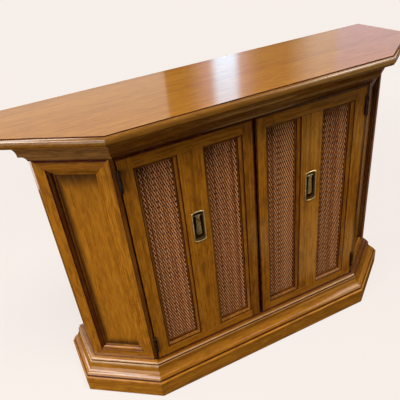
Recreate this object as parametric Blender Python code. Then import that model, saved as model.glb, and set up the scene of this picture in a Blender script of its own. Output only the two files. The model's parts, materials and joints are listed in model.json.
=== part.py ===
"""Console cabinet with canted ends and a pair of cane-panelled doors.

Units are metres and +Z is up. The cabinet faces -Y, and the origin is on the floor
under the middle of its top. Left and right are as seen from the front.
"""
import math

import bmesh
import bpy
from mathutils import Matrix, Vector

# Overall sizes
HEIGHT = 0.762
FRONT_WIDTH = 0.654               # case front, between its two canted corners
CANT_LENGTH = 0.179               # canted end, along its face
CANT_ANGLE = math.radians(36.0)   # turn from the front to a canted end
RETURN_DEPTH = 0.135              # straight end behind each cant

# Clearances
GAP = 0.0003                      # between pieces that touch
DOOR_CLEARANCE = 0.0025           # above and below the doors
MEETING_GAP = 0.005               # between the two doors

# Top
TOP_THICKNESS = 0.021
TOP_OVERHANG = 0.054              # beyond the case face at the front and ends
TOP_BACK_OVERHANG = 0.019
TOP_STEP = 0.002                  # fine step round the flat field
TOP_STEP_INSET = 0.0005           # from the round shoulder to the flat field's edge
TOP_SHOULDER_DEPTH = 0.0065
TOP_SHOULDER_HEIGHT = 0.009
TOP_FOOT_RADIUS = 0.002           # round foot of the edge's upright face
TOP_FILLET_HEIGHT = 0.004         # narrow fillet under the edge
TOP_FILLET_SETBACK = 0.003

# Cornice under the top
CORNICE_HEIGHT = 0.0475
CORNICE_TOE = 0.005               # flat under the foot of the ovolo
CORNICE_OVOLO_DEPTH = 0.015
CORNICE_OVOLO_BULGE = 0.0026
CORNICE_FILLET_DEPTH = 0.002
CORNICE_FILLET_HEIGHT = 0.0025
CORNICE_COVE_RADIUS = 0.0275

# Base
BASE_HEIGHT = 0.097               # floor to the top of the base cap
PLINTH_HEIGHT = 0.052
PLINTH_OUT = 0.043                # plinth face beyond the case face
PLINTH_THICKNESS = 0.020
PLINTH_SHOULDER = 0.005
PLINTH_TOE = 0.002
CAP_BEAD_RADIUS = 0.0040
CAP_BEAD_OUT = 0.0130
CAP_FACE_OUT = 0.0172
CAP_HOLLOW_RADIUS = 0.033
CAP_HOLLOW_TURN = 40              # degrees from upright to the foot of the hollow
CAP_TORUS_RADIUS = 0.0172
CAP_TORUS_TOP = 80                # degrees above level at the torus's upper edge
CAP_TORUS_FOOT = 20               # degrees above level at its lower edge
CAP_QUIRK_DEPTH = 0.0035
CAP_QUIRK_HEIGHT = 0.002
CAP_LEDGE = 0.040                 # inside the case face, under the floor board

# Case boards
FLOOR_THICKNESS = 0.018
BACK_THICKNESS = 0.006
END_THICKNESS = 0.019
HEAD_RAIL_DEPTH = 0.045
JAMB_WIDTH = 0.010
JAMB_DEPTH = 0.022
JAMB_SETBACK = 0.006              # behind the case face
SHELF_HEIGHT = 0.390              # floor to the underside of the shelf
SHELF_THICKNESS = 0.018
SHELF_SETBACK = 0.050             # behind the case face
SHELF_HOUSING = 0.006             # groove in each end board

# Canted panels
CANT_THICKNESS = 0.019
CANT_FRAME_DEPTH = 0.011
CANT_FRAME_FLAT = 0.025
CANT_QUIRK = 0.003
CANT_OVOLO_WIDTH = 0.009
CANT_OVOLO_DEPTH = 0.005
CANT_FILLET_WIDTH = 0.005

# Doors
DOOR_THICKNESS = 0.020
DOOR_REVEAL = 0.0065              # from the case corner to the door's hinged edge
HINGE_STILE = 0.0305
MEETING_STILE = 0.028
CENTRE_STILE = 0.060
TOP_RAIL = 0.031
BOTTOM_RAIL = 0.023
BEAD_SETBACK = 0.0018             # bead's outer edge behind the door face
BEAD_OVOLO_WIDTH = 0.0075
BEAD_OVOLO_DEPTH = 0.0087
BEAD_QUIRK = 0.0015
BEAD_FILLET_WIDTH = 0.0035        # flat beside the cane
BEAD_DEPTH = 0.0158               # door face to the back of the bead
CANE_BOARD_THICKNESS = 0.0035
CANE_REBATE = 0.008

# Hinges
HINGE_HEIGHT = 0.050
HINGE_INSET = 0.028               # from the door's top or bottom to the nearer hinge
LEAF_THICKNESS = 0.001
LEAF_DEPTH = 0.017
LEAF_PLAY = 0.0004
BARREL_RADIUS = 0.0036
PIN_RADIUS = 0.0012
PIN_PLAY = 0.0002

# Pulls
PULL_HEIGHT = 0.4645              # floor to the middle of the pull
FLANGE_WIDTH = 0.033
FLANGE_LENGTH = 0.086
FLANGE_ARCH = 0.003
FLANGE_THICKNESS = 0.0018
FLANGE_RIM = 0.0035               # flange round the cup's mouth
CUP_DEPTH = 0.0109                # door face to the back of the cup
CUP_WALL = 0.0013
CUP_CLEARANCE = 0.0004            # in the stile's mortise
DROP_PIN_INSET = 0.009            # from the top of the cup's mouth to the cross pin
DROP_PIN_SETBACK = 0.003          # cross pin behind the door face
DROP_PIN_RADIUS = 0.00125
DROP_PIN_PLAY = 0.0002
DROP_BARREL_RADIUS = 0.003
DROP_BARREL_LENGTH = 0.012
DROP_LENGTH = 0.054               # cross pin to the drop's lower end
DROP_NECK_WIDTH = 0.010
DROP_FOOT_WIDTH = 0.0135
DROP_FOOT_BULGE = 0.002
DROP_THICKNESS = 0.003

# Magnetic catch behind the meeting stiles
CATCH_WIDTH = 0.046
CATCH_DEPTH = 0.017
CATCH_HEIGHT = 0.016
STRIKE_THICKNESS = 0.0015
STRIKE_WIDTH = 0.014
STRIKE_HEIGHT = 0.013
STRIKE_INSET = 0.002              # from the meeting stile's free edge

# Levels and places that follow from the sizes above
TOP_UNDERSIDE = HEIGHT - TOP_THICKNESS
CORNICE_BOTTOM = TOP_UNDERSIDE - CORNICE_HEIGHT
LEDGE_TOP = BASE_HEIGHT - FLOOR_THICKNESS - GAP
CASE_HALF_WIDTH = FRONT_WIDTH / 2 + CANT_LENGTH * math.cos(CANT_ANGLE)
CASE_DEPTH = CANT_LENGTH * math.sin(CANT_ANGLE) + RETURN_DEPTH
FRONT_Y = TOP_OVERHANG - (TOP_OVERHANG + CASE_DEPTH + TOP_BACK_OVERHANG) / 2
CANT_REAR_Y = FRONT_Y + CANT_LENGTH * math.sin(CANT_ANGLE)
BACK_Y = FRONT_Y + CASE_DEPTH
INNER_BACK_Y = BACK_Y - BACK_THICKNESS - GAP
INNER_HALF_WIDTH = CASE_HALF_WIDTH - END_THICKNESS

HINGE_GAP = 2 * (GAP + LEAF_THICKNESS) + LEAF_PLAY
DOOR_OUTER_X = FRONT_WIDTH / 2 - DOOR_REVEAL
JAMB_INNER_X = DOOR_OUTER_X + HINGE_GAP
JAMB_OUTER_X = JAMB_INNER_X + JAMB_WIDTH
DOOR_TOP = CORNICE_BOTTOM - DOOR_CLEARANCE
DOOR_BOTTOM = BASE_HEIGHT + DOOR_CLEARANCE
DOOR_BACK_Y = FRONT_Y + DOOR_THICKNESS
OPENING_TOP = DOOR_TOP - TOP_RAIL
OPENING_BOTTOM = DOOR_BOTTOM + BOTTOM_RAIL
OPENING_OUTER_X = DOOR_OUTER_X - HINGE_STILE
OPENING_INNER_X = MEETING_GAP / 2 + MEETING_STILE
DOOR_MIDDLE_X = (OPENING_OUTER_X + OPENING_INNER_X) / 2
BEAD_BACK_Y = FRONT_Y + BEAD_DEPTH
CANE_FRONT_Y = BEAD_BACK_Y + GAP

HINGE_AXIS_X = DOOR_OUTER_X + HINGE_GAP / 2
HINGE_AXIS_Y = FRONT_Y - BARREL_RADIUS - LEAF_PLAY
CUP_HALF_WIDTH = FLANGE_WIDTH / 2 - FLANGE_RIM
CUP_HALF_LENGTH = FLANGE_LENGTH / 2 - FLANGE_ARCH - FLANGE_RIM / 2
CUP_BACK_Y = FRONT_Y + CUP_DEPTH
DROP_PIN_Z = PULL_HEIGHT + CUP_HALF_LENGTH - DROP_PIN_INSET
DROP_PIN_Y = FRONT_Y + DROP_PIN_SETBACK

OVERCUT = 0.010                   # how far a cutter runs past what it cuts
ARC_STEPS = 8
SMALL_ARC_STEPS = 4
ROUND_SIDES = 24
SHARP_ANGLE = math.radians(30.0)  # faces that meet at more than this keep a crisp edge
SIDES = {"left": -1, "right": 1}


# Scene, materials and helpers

def clear_scene():
    """Remove every object that the scene holds."""
    for item in list(bpy.data.objects):
        bpy.data.objects.remove(item, do_unlink=True)


def new_collection(name):
    """A new collection linked to the scene."""
    collection = bpy.data.collections.new(name)
    bpy.context.scene.collection.children.link(collection)
    return collection


def new_material(name, colour, roughness, metallic=0.0):
    """A Principled material with one colour."""
    material = bpy.data.materials.new(name)
    material.use_nodes = True
    shader = material.node_tree.nodes["Principled BSDF"]
    shader.inputs["Base Color"].default_value = (*colour, 1.0)
    shader.inputs["Roughness"].default_value = roughness
    shader.inputs["Metallic"].default_value = metallic
    material.diffuse_color = (*colour, 1.0)
    return material


clear_scene()
PARTS = new_collection("console_cabinet")
CUTTERS = new_collection("console_cabinet_cutters")
TOP_WOOD = new_material("polished_top_wood", (0.42, 0.18, 0.03), 0.18)
FRAME_WOOD = new_material("frame_wood", (0.30, 0.12, 0.02), 0.32)
PANEL_WOOD = new_material("panel_wood", (0.33, 0.14, 0.025), 0.35)
INNER_WOOD = new_material("inner_wood", (0.38, 0.22, 0.09), 0.6)
CANE = new_material("woven_cane", (0.36, 0.17, 0.08), 0.7)
BRASS = new_material("antique_brass", (0.42, 0.34, 0.15), 0.3, 1.0)
BRONZE = new_material("dark_bronze", (0.06, 0.045, 0.04), 0.4, 1.0)
STEEL = new_material("plated_steel", (0.55, 0.55, 0.55), 0.35, 1.0)
PLASTIC = new_material("catch_plastic", (0.12, 0.07, 0.04), 0.5)


def add_axis(name, point, parent=None):
    """An empty on a joint's axis."""
    axis = bpy.data.objects.new(name, None)
    axis.empty_display_size = 0.02
    PARTS.objects.link(axis)
    axis.parent = parent
    axis.location = point - (parent.matrix_world.translation if parent else Vector())
    bpy.context.view_layer.update()
    return axis


def add_part(name, mesh, material, parent=None):
    """Link a mesh, given in world coordinates, as a named part.

    Its origin goes to the middle of its box, or to the axis empty that carries it.
    """
    corners = [vertex.co for vertex in mesh.vertices]
    middle = [sum(pick(c[i] for c in corners) for pick in (min, max)) / 2 for i in range(3)]
    origin = parent.matrix_world.translation.copy() if parent else Vector(middle)
    mesh.transform(Matrix.Translation(-origin))
    mesh.name = name
    mesh.materials.append(material)
    mesh.shade_smooth()
    mesh.set_sharp_from_angle(angle=SHARP_ANGLE)
    part = bpy.data.objects.new(name, mesh)
    PARTS.objects.link(part)
    part.parent = parent
    part.location = Vector() if parent else origin
    return part


def add_cutter(name, mesh):
    """Link a mesh as a hidden shape that cuts or joins a part."""
    cutter = bpy.data.objects.new(name, mesh)
    cutter.hide_render = True
    cutter.display_type = "WIRE"
    CUTTERS.objects.link(cutter)
    return cutter


def combine(part, cutter, operation="DIFFERENCE"):
    """Cut a part with another shape, or join the shape to it."""
    modifier = part.modifiers.new(cutter.name, "BOOLEAN")
    modifier.solver = "EXACT"
    modifier.operation = operation
    modifier.object = cutter


def to_mesh(bm, name):
    """Turn a bmesh into a mesh with its faces pointing out."""
    bmesh.ops.recalc_face_normals(bm, faces=bm.faces)
    mesh = bpy.data.meshes.new(name)
    bm.to_mesh(mesh)
    bm.free()
    return mesh


# Basic shapes, each a mesh in world coordinates

def block(x, y, z):
    """A box between two values on each axis, given in either order."""
    bm = bmesh.new()
    bmesh.ops.create_cube(bm, size=1.0)
    size = [abs(b - a) for a, b in (x, y, z)]
    centre = [(a + b) / 2 for a, b in (x, y, z)]
    bmesh.ops.scale(bm, vec=size, verts=bm.verts)
    bmesh.ops.translate(bm, vec=centre, verts=bm.verts)
    return to_mesh(bm, "block")


def rod(centre, radius, length, axis):
    """A round bar about a point, along X or Z."""
    bm = bmesh.new()
    turn = Matrix.Rotation(math.pi / 2, 4, "Y") if axis == "X" else Matrix.Identity(4)
    bmesh.ops.create_cone(bm, cap_ends=True, segments=ROUND_SIDES, radius1=radius, radius2=radius,
                          depth=length, matrix=Matrix.Translation(centre) @ turn)
    return to_mesh(bm, "rod")


def outline_solid(points, low, high, place=None):
    """A flat outline, drawn in X and Y, thickened from low to high in Z and then placed."""
    curve = bpy.data.curves.new("outline", "CURVE")
    curve.dimensions = "2D"
    curve.fill_mode = "BOTH"
    curve.extrude = (high - low) / 2
    spline = curve.splines.new("POLY")
    spline.points.add(len(points) - 1)
    for point, (x, y) in zip(spline.points, points):
        point.co = (x, y, 0.0, 1.0)
    spline.use_cyclic_u = True
    holder = bpy.data.objects.new("outline", curve)
    PARTS.objects.link(holder)
    mesh = bpy.data.meshes.new_from_object(holder.evaluated_get(bpy.context.evaluated_depsgraph_get()))
    bpy.data.objects.remove(holder)
    bpy.data.curves.remove(curve)
    bm = bmesh.new()
    bm.from_mesh(mesh)
    bmesh.ops.remove_doubles(bm, verts=bm.verts, dist=1e-6)
    bmesh.ops.translate(bm, vec=(0, 0, (low + high) / 2), verts=bm.verts)
    bmesh.ops.transform(bm, matrix=place or Matrix.Identity(4), verts=bm.verts)
    bpy.data.meshes.remove(mesh)
    return to_mesh(bm, "outline")


def loft(sections, closed=False):
    """A skin through matching sections, capped at its ends or joined round to the first."""
    bm = bmesh.new()
    rings = [[bm.verts.new(point) for point in section] for section in sections]
    spans = list(zip(rings, rings[1:]))
    if closed:
        spans.append((rings[-1], rings[0]))
    else:
        bm.faces.new(rings[0])
        bm.faces.new(rings[-1])
    for near, far in spans:
        for i in range(len(near)):
            bm.faces.new((near[i - 1], near[i], far[i], far[i - 1]))
    return to_mesh(bm, "loft")


def arc(centre, radii, start, end, steps=ARC_STEPS):
    """Points on an ellipse between two angles in degrees."""
    angles = [math.radians(start + (end - start) * i / steps) for i in range(steps + 1)]
    return [(centre[0] + radii[0] * math.cos(a), centre[1] + radii[1] * math.sin(a)) for a in angles]


def bulge(start, end, rise, steps=ARC_STEPS):
    """Points on the shallow arc from start to end that rises to the left of its chord."""
    start, end = Vector(start), Vector(end)
    chord = end - start
    left = Vector((-chord.y, chord.x)).normalized()
    radius = (chord.length_squared / 4 + rise * rise) / (2 * rise)
    centre = (start + end) / 2 + left * (rise - radius)
    half = math.asin(min(1.0, chord.length / 2 / radius))
    turns = [half - 2 * half * i / steps for i in range(steps + 1)]
    along = chord.normalized()
    return [tuple(centre + left * radius * math.cos(t) - along * radius * math.sin(t)) for t in turns]


# Plan of the case: each corner is pushed out from the case face by the same distance all round

def front_corner(side, out):
    """Corner between the front and a canted end."""
    return Vector((side * (FRONT_WIDTH / 2 + out * math.tan(CANT_ANGLE / 2)), FRONT_Y - out))


def rear_corner(side, out):
    """Corner between a canted end and the straight end behind it."""
    half_turn = (math.pi / 2 - CANT_ANGLE) / 2
    return Vector((side * (CASE_HALF_WIDTH + out), CANT_REAR_Y - out * math.tan(half_turn)))


def back_corner(side, out, back_y):
    """Corner at the back."""
    return Vector((side * (CASE_HALF_WIDTH + out), back_y))


def along_cant(side):
    """Unit vector along a canted face, from front to rear."""
    return Vector((side * math.cos(CANT_ANGLE), math.sin(CANT_ANGLE), 0.0))


def into_cant(side):
    """Unit vector square to a canted face, into the case."""
    return Vector((-side * math.sin(CANT_ANGLE), math.cos(CANT_ANGLE), 0.0))


def cant_point(side, along, depth, height):
    """A point by its distance along a canted face, its depth behind it and its height."""
    corner = front_corner(side, 0.0)
    return Vector((*corner, height)) + along_cant(side) * along + into_cant(side) * depth


def cant_line_x(side, out, y):
    """X where a line parallel to a canted face crosses a value of Y."""
    corner = front_corner(side, out)
    return corner.x + side * (y - corner.y) / math.tan(CANT_ANGLE)


def front_moulding(profile):
    """A profile of (out, height) points run along the front, mitred at both ends."""
    ends = []
    for side in (-1, 1):
        inset = Vector((-side * GAP / 2, 0.0))
        ends.append([Vector((*(front_corner(side, out) + inset), z)) for out, z in profile])
    return loft(ends)


def end_moulding(side, profile):
    """A profile of (out, height) points run along a canted end and the straight end behind it."""
    inset = along_cant(side).xy * GAP / 2
    first = [Vector((*(front_corner(side, out) + inset), z)) for out, z in profile]
    corner = [Vector((*rear_corner(side, out), z)) for out, z in profile]
    last = [Vector((*back_corner(side, out, BACK_Y), z)) for out, z in profile]
    return loft([first, corner, last])


# Top, cornice and base

def build_top():
    """The top: a flat field, a fine step, and an edge with a round shoulder and a fillet under it."""
    shoulder_out = TOP_OVERHANG - TOP_SHOULDER_DEPTH
    fillet_out = TOP_OVERHANG - TOP_FILLET_SETBACK
    fillet_top = TOP_UNDERSIDE + TOP_FILLET_HEIGHT
    foot = arc((TOP_OVERHANG - TOP_FOOT_RADIUS, fillet_top + TOP_FOOT_RADIUS),
               (TOP_FOOT_RADIUS, TOP_FOOT_RADIUS), -90, 0, SMALL_ARC_STEPS)
    shoulder = arc((shoulder_out, HEIGHT - TOP_STEP - TOP_SHOULDER_HEIGHT),
                   (TOP_SHOULDER_DEPTH, TOP_SHOULDER_HEIGHT), 0, 90)
    profile = [(fillet_out, TOP_UNDERSIDE), (fillet_out, fillet_top), *foot, *shoulder,
               (shoulder_out - TOP_STEP_INSET, HEIGHT)]
    back_y = BACK_Y + TOP_BACK_OVERHANG
    sections = []
    for out, z in profile:
        left = [back_corner(-1, out, back_y), rear_corner(-1, out), front_corner(-1, out)]
        right = [front_corner(1, out), rear_corner(1, out), back_corner(1, out, back_y)]
        sections.append([Vector((*corner, z)) for corner in left + right])
    add_part("top_panel", loft(sections), TOP_WOOD)


def cornice_profile():
    """Ovolo, fillet and large cove, from the foot up."""
    fillet_out = CORNICE_TOE + CORNICE_OVOLO_DEPTH + CORNICE_FILLET_DEPTH
    top = TOP_UNDERSIDE - GAP
    cove_bottom = top - CORNICE_COVE_RADIUS - GAP
    fillet_bottom = cove_bottom - CORNICE_FILLET_HEIGHT
    ovolo = bulge((CORNICE_TOE + CORNICE_OVOLO_DEPTH, fillet_bottom),
                  (CORNICE_TOE, CORNICE_BOTTOM), -CORNICE_OVOLO_BULGE)
    cove = arc((fillet_out + CORNICE_COVE_RADIUS, cove_bottom),
               (CORNICE_COVE_RADIUS, CORNICE_COVE_RADIUS), 90, 180)
    cove_lip = (fillet_out + CORNICE_COVE_RADIUS, top)
    return [(GAP, top), cove_lip, *cove, (fillet_out, fillet_bottom), *ovolo, (GAP, CORNICE_BOTTOM)]


def cap_profile():
    """Base cap: bead, step, hollow and torus outside, and a ledge inside that carries the case."""
    bottom = PLINTH_HEIGHT + GAP
    torus_foot = bottom + CAP_QUIRK_HEIGHT
    torus_top = math.radians(CAP_TORUS_TOP)
    torus_height = CAP_TORUS_RADIUS * (math.sin(torus_top) - math.sin(math.radians(CAP_TORUS_FOOT)))
    hollow_top = torus_foot + torus_height + CAP_HOLLOW_RADIUS * math.sin(math.radians(CAP_HOLLOW_TURN))
    bead_bottom = BASE_HEIGHT - 2 * CAP_BEAD_RADIUS
    bead = arc((CAP_BEAD_OUT - CAP_BEAD_RADIUS, BASE_HEIGHT - CAP_BEAD_RADIUS),
               (CAP_BEAD_RADIUS, CAP_BEAD_RADIUS), 90, -90)
    hollow = arc((CAP_FACE_OUT + CAP_HOLLOW_RADIUS, hollow_top),
                 (CAP_HOLLOW_RADIUS, CAP_HOLLOW_RADIUS), 180, 180 + CAP_HOLLOW_TURN)
    out, height = hollow[-1]
    torus_middle = (out - CAP_TORUS_RADIUS * math.cos(torus_top),
                    height - CAP_TORUS_RADIUS * math.sin(torus_top))
    torus = arc(torus_middle, (CAP_TORUS_RADIUS, CAP_TORUS_RADIUS), CAP_TORUS_TOP, CAP_TORUS_FOOT)
    quirk_out = torus[-1][0] - CAP_QUIRK_DEPTH
    quirk = [(quirk_out, torus_foot), (quirk_out, bottom)]
    ledge = [(-CAP_LEDGE, bottom), (-CAP_LEDGE, LEDGE_TOP), (GAP, LEDGE_TOP)]
    return [(GAP, BASE_HEIGHT), *bead, (CAP_FACE_OUT, bead_bottom), *hollow, *torus[1:], *quirk, *ledge]


def plinth_profile():
    """Plinth board with a round shoulder and an eased toe."""
    inner = PLINTH_OUT - PLINTH_THICKNESS
    shoulder = arc((PLINTH_OUT - PLINTH_SHOULDER, PLINTH_HEIGHT - PLINTH_SHOULDER),
                   (PLINTH_SHOULDER, PLINTH_SHOULDER), 90, 0)
    toe = arc((PLINTH_OUT - PLINTH_TOE, PLINTH_TOE), (PLINTH_TOE, PLINTH_TOE), 0, -90, SMALL_ARC_STEPS)
    return [(inner, PLINTH_HEIGHT), *shoulder, *toe, (inner, 0.0)]


def build_mouldings():
    """Cornice, base cap and plinth, each in a front length and two mitred end lengths."""
    for name, profile in (("cornice", cornice_profile()), ("base_cap", cap_profile()),
                          ("plinth", plinth_profile())):
        add_part(f"{name}_front", front_moulding(profile), FRAME_WOOD)
        for side_name, side in SIDES.items():
            add_part(f"{name}_{side_name}", end_moulding(side, profile), FRAME_WOOD)
    build_plinth_back()


def build_plinth_back():
    """The plain rail across the back: between the plinth's ends, and up between the ledges to the floor."""
    wide = CASE_HALF_WIDTH + PLINTH_OUT - PLINTH_THICKNESS - GAP
    narrow = CASE_HALF_WIDTH - CAP_LEDGE - GAP
    half = [(wide, 0.0), (wide, PLINTH_HEIGHT), (narrow, PLINTH_HEIGHT), (narrow, LEDGE_TOP)]
    upright_back = Matrix.Translation((0.0, BACK_Y, 0.0)) @ Matrix.Rotation(math.pi / 2, 4, "X")
    add_part("plinth_back", outline_solid(mirrored(half), 0.0, PLINTH_THICKNESS, upright_back), INNER_WOOD)


# Case boards

def mirrored(points):
    """Close an outline from its right half, given from front to back."""
    return points + [(-x, y) for x, y in reversed(points)]


def build_floor():
    """The floor board, notched round the jambs."""
    notch_x = JAMB_INNER_X - GAP
    notch_y = FRONT_Y + JAMB_SETBACK + JAMB_DEPTH + GAP
    inside = -(CANT_THICKNESS + GAP)
    rear = rear_corner(1, inside)
    end_x = INNER_HALF_WIDTH - GAP
    cant_y = rear.y + (end_x - rear.x) * math.tan(CANT_ANGLE)
    outline = mirrored([(notch_x, FRONT_Y), (notch_x, notch_y), (cant_line_x(1, inside, notch_y), notch_y),
                        (end_x, cant_y), (end_x, INNER_BACK_Y)])
    add_part("floor_board", outline_solid(outline, LEDGE_TOP + GAP, BASE_HEIGHT), INNER_WOOD)


def end_joint():
    """Inward and rearward reach of the square joint where a canted end meets an end board."""
    return CANT_THICKNESS * math.sin(CANT_ANGLE), CANT_THICKNESS * math.cos(CANT_ANGLE)


def build_shelf():
    """The fixed shelf, housed in the end boards."""
    inside = -(CANT_THICKNESS + GAP)
    rear = rear_corner(1, inside)
    front_y = FRONT_Y + SHELF_SETBACK
    end_x = INNER_HALF_WIDTH - GAP
    tongue_x = INNER_HALF_WIDTH + SHELF_HOUSING - GAP
    tongue_y = CANT_REAR_Y + end_joint()[1] + 2 * SHELF_HOUSING
    cant_y = rear.y + (end_x - rear.x) * math.tan(CANT_ANGLE)
    outline = mirrored([(cant_line_x(1, inside, front_y), front_y), (end_x, cant_y), (end_x, tongue_y),
                        (tongue_x, tongue_y), (tongue_x, INNER_BACK_Y)])
    add_part("shelf", outline_solid(outline, SHELF_HEIGHT, SHELF_HEIGHT + SHELF_THICKNESS), INNER_WOOD)


def build_end_board(side_name, side):
    """A straight end, bevelled against the canted end and grooved for the shelf."""
    joint_in, joint_back = end_joint()
    front_y = CANT_REAR_Y + GAP
    outline = [(side * CASE_HALF_WIDTH, front_y),
               (side * (CASE_HALF_WIDTH - joint_in), front_y + joint_back),
               (side * INNER_HALF_WIDTH, front_y + joint_back),
               (side * INNER_HALF_WIDTH, INNER_BACK_Y), (side * CASE_HALF_WIDTH, INNER_BACK_Y)]
    board = add_part(f"end_board_{side_name}",
                     outline_solid(outline, LEDGE_TOP + GAP, TOP_UNDERSIDE - GAP), FRAME_WOOD)
    groove = block((side * (INNER_HALF_WIDTH - OVERCUT), side * (INNER_HALF_WIDTH + SHELF_HOUSING)),
                   (CANT_REAR_Y + joint_back + SHELF_HOUSING, INNER_BACK_Y + OVERCUT),
                   (SHELF_HEIGHT - GAP, SHELF_HEIGHT + SHELF_THICKNESS + GAP))
    combine(board, add_cutter(f"shelf_groove_{side_name}", groove))


def build_case():
    """Floor, shelf, back, ends, door jambs and head rail."""
    build_floor()
    build_shelf()
    inside_z = (LEDGE_TOP + GAP, TOP_UNDERSIDE - GAP)
    add_part("back_panel", block((-CASE_HALF_WIDTH, CASE_HALF_WIDTH), (BACK_Y - BACK_THICKNESS, BACK_Y),
                                 inside_z), INNER_WOOD)
    for side_name, side in SIDES.items():
        build_end_board(side_name, side)
        jamb_front = FRONT_Y + JAMB_SETBACK
        add_part(f"jamb_{side_name}", block((side * JAMB_INNER_X, side * JAMB_OUTER_X),
                                            (jamb_front, jamb_front + JAMB_DEPTH), inside_z), FRAME_WOOD)
    rail_half = JAMB_INNER_X - GAP
    add_part("head_rail", block((-rail_half, rail_half), (FRONT_Y, FRONT_Y + HEAD_RAIL_DEPTH),
                                (CORNICE_BOTTOM, TOP_UNDERSIDE - GAP)), FRAME_WOOD)


# Canted ends

def cant_frame_profile():
    """Section of the mitred frame: distance in from its outer edge, and depth behind its face."""
    ovolo_depth = CANT_QUIRK + CANT_OVOLO_DEPTH
    ovolo = arc((CANT_FRAME_FLAT, ovolo_depth), (CANT_OVOLO_WIDTH, CANT_OVOLO_DEPTH), -90, 0)
    fillet_depth = (ovolo_depth + CANT_FRAME_DEPTH) / 2
    fillet_in = CANT_FRAME_FLAT + CANT_OVOLO_WIDTH
    inner = fillet_in + CANT_FILLET_WIDTH
    return [(0.0, CANT_FRAME_DEPTH), (0.0, 0.0), (CANT_FRAME_FLAT, 0.0), *ovolo, (fillet_in, fillet_depth),
            (inner, fillet_depth), (inner, CANT_FRAME_DEPTH)]


def build_canted_end(side_name, side):
    """A canted end: a panel thickened behind the cornice and base, and a mitred frame on it."""
    first = (JAMB_OUTER_X + GAP - FRONT_WIDTH / 2) / math.cos(CANT_ANGLE)
    low, high = BASE_HEIGHT + GAP, CORNICE_BOTTOM - GAP
    field = CANT_FRAME_DEPTH + GAP
    bottom, top = LEDGE_TOP + GAP, TOP_UNDERSIDE - GAP
    section = [(0.0, bottom), (0.0, BASE_HEIGHT), (field, BASE_HEIGHT), (field, CORNICE_BOTTOM),
               (0.0, CORNICE_BOTTOM), (0.0, top), (CANT_THICKNESS, top), (CANT_THICKNESS, bottom)]
    ends = [[cant_point(side, along, depth, z) for depth, z in section] for along in (first, CANT_LENGTH)]
    panel = add_part(f"cant_{side_name}_panel", loft(ends), PANEL_WOOD)

    profile = cant_frame_profile()
    corners = [[(first + inset, low + inset, depth) for inset, depth in profile],
               [(CANT_LENGTH - inset, low + inset, depth) for inset, depth in profile],
               [(CANT_LENGTH - inset, high - inset, depth) for inset, depth in profile],
               [(first + inset, high - inset, depth) for inset, depth in profile]]
    names = ("bottom_rail", "rear_stile", "top_rail", "front_stile")
    ways = ((1, 0), (0, 1), (-1, 0), (0, -1))
    members = {}
    for i, (name, (way_along, way_up)) in enumerate(zip(names, ways)):
        shifts = (GAP / 2, -GAP / 2)
        pair = [[cant_point(side, along + way_along * shift, depth, z + way_up * shift)
                 for along, z, depth in corner]
                for corner, shift in zip((corners[i], corners[(i + 1) % 4]), shifts)]
        members[name] = add_part(f"cant_{side_name}_{name}", loft(pair), FRAME_WOOD)

    clearance = block((side * (FRONT_WIDTH / 2 - CANT_LENGTH), side * (JAMB_OUTER_X + GAP)),
                      (FRONT_Y - OVERCUT, BACK_Y), (-OVERCUT, HEIGHT + OVERCUT))
    cutter = add_cutter(f"jamb_clearance_{side_name}", clearance)
    for part in (panel, members["front_stile"], members["top_rail"], members["bottom_rail"]):
        combine(part, cutter)


# Doors

def bead_ring(side, near_x, far_x):
    """A mitred bead round one cane opening, between two distances from the middle of the cabinet.

    Its section is an ovolo, a quirk and a flat fillet beside the cane.
    """
    low, high = OPENING_BOTTOM + GAP, OPENING_TOP - GAP
    near, far = near_x + GAP, far_x - GAP
    foot = BEAD_SETBACK + BEAD_OVOLO_DEPTH
    inner = BEAD_OVOLO_WIDTH + BEAD_FILLET_WIDTH
    ovolo = arc((0.0, foot), (BEAD_OVOLO_WIDTH, BEAD_OVOLO_DEPTH), -90, 0)
    profile = [*ovolo, (BEAD_OVOLO_WIDTH, foot + BEAD_QUIRK), (inner, foot + BEAD_QUIRK),
               (inner, BEAD_DEPTH), (0.0, BEAD_DEPTH)]
    sections = [[(side * (near + inset), FRONT_Y + depth, low + inset) for inset, depth in profile],
                [(side * (far - inset), FRONT_Y + depth, low + inset) for inset, depth in profile],
                [(side * (far - inset), FRONT_Y + depth, high - inset) for inset, depth in profile],
                [(side * (near + inset), FRONT_Y + depth, high - inset) for inset, depth in profile]]
    return loft(sections, closed=True)


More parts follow.
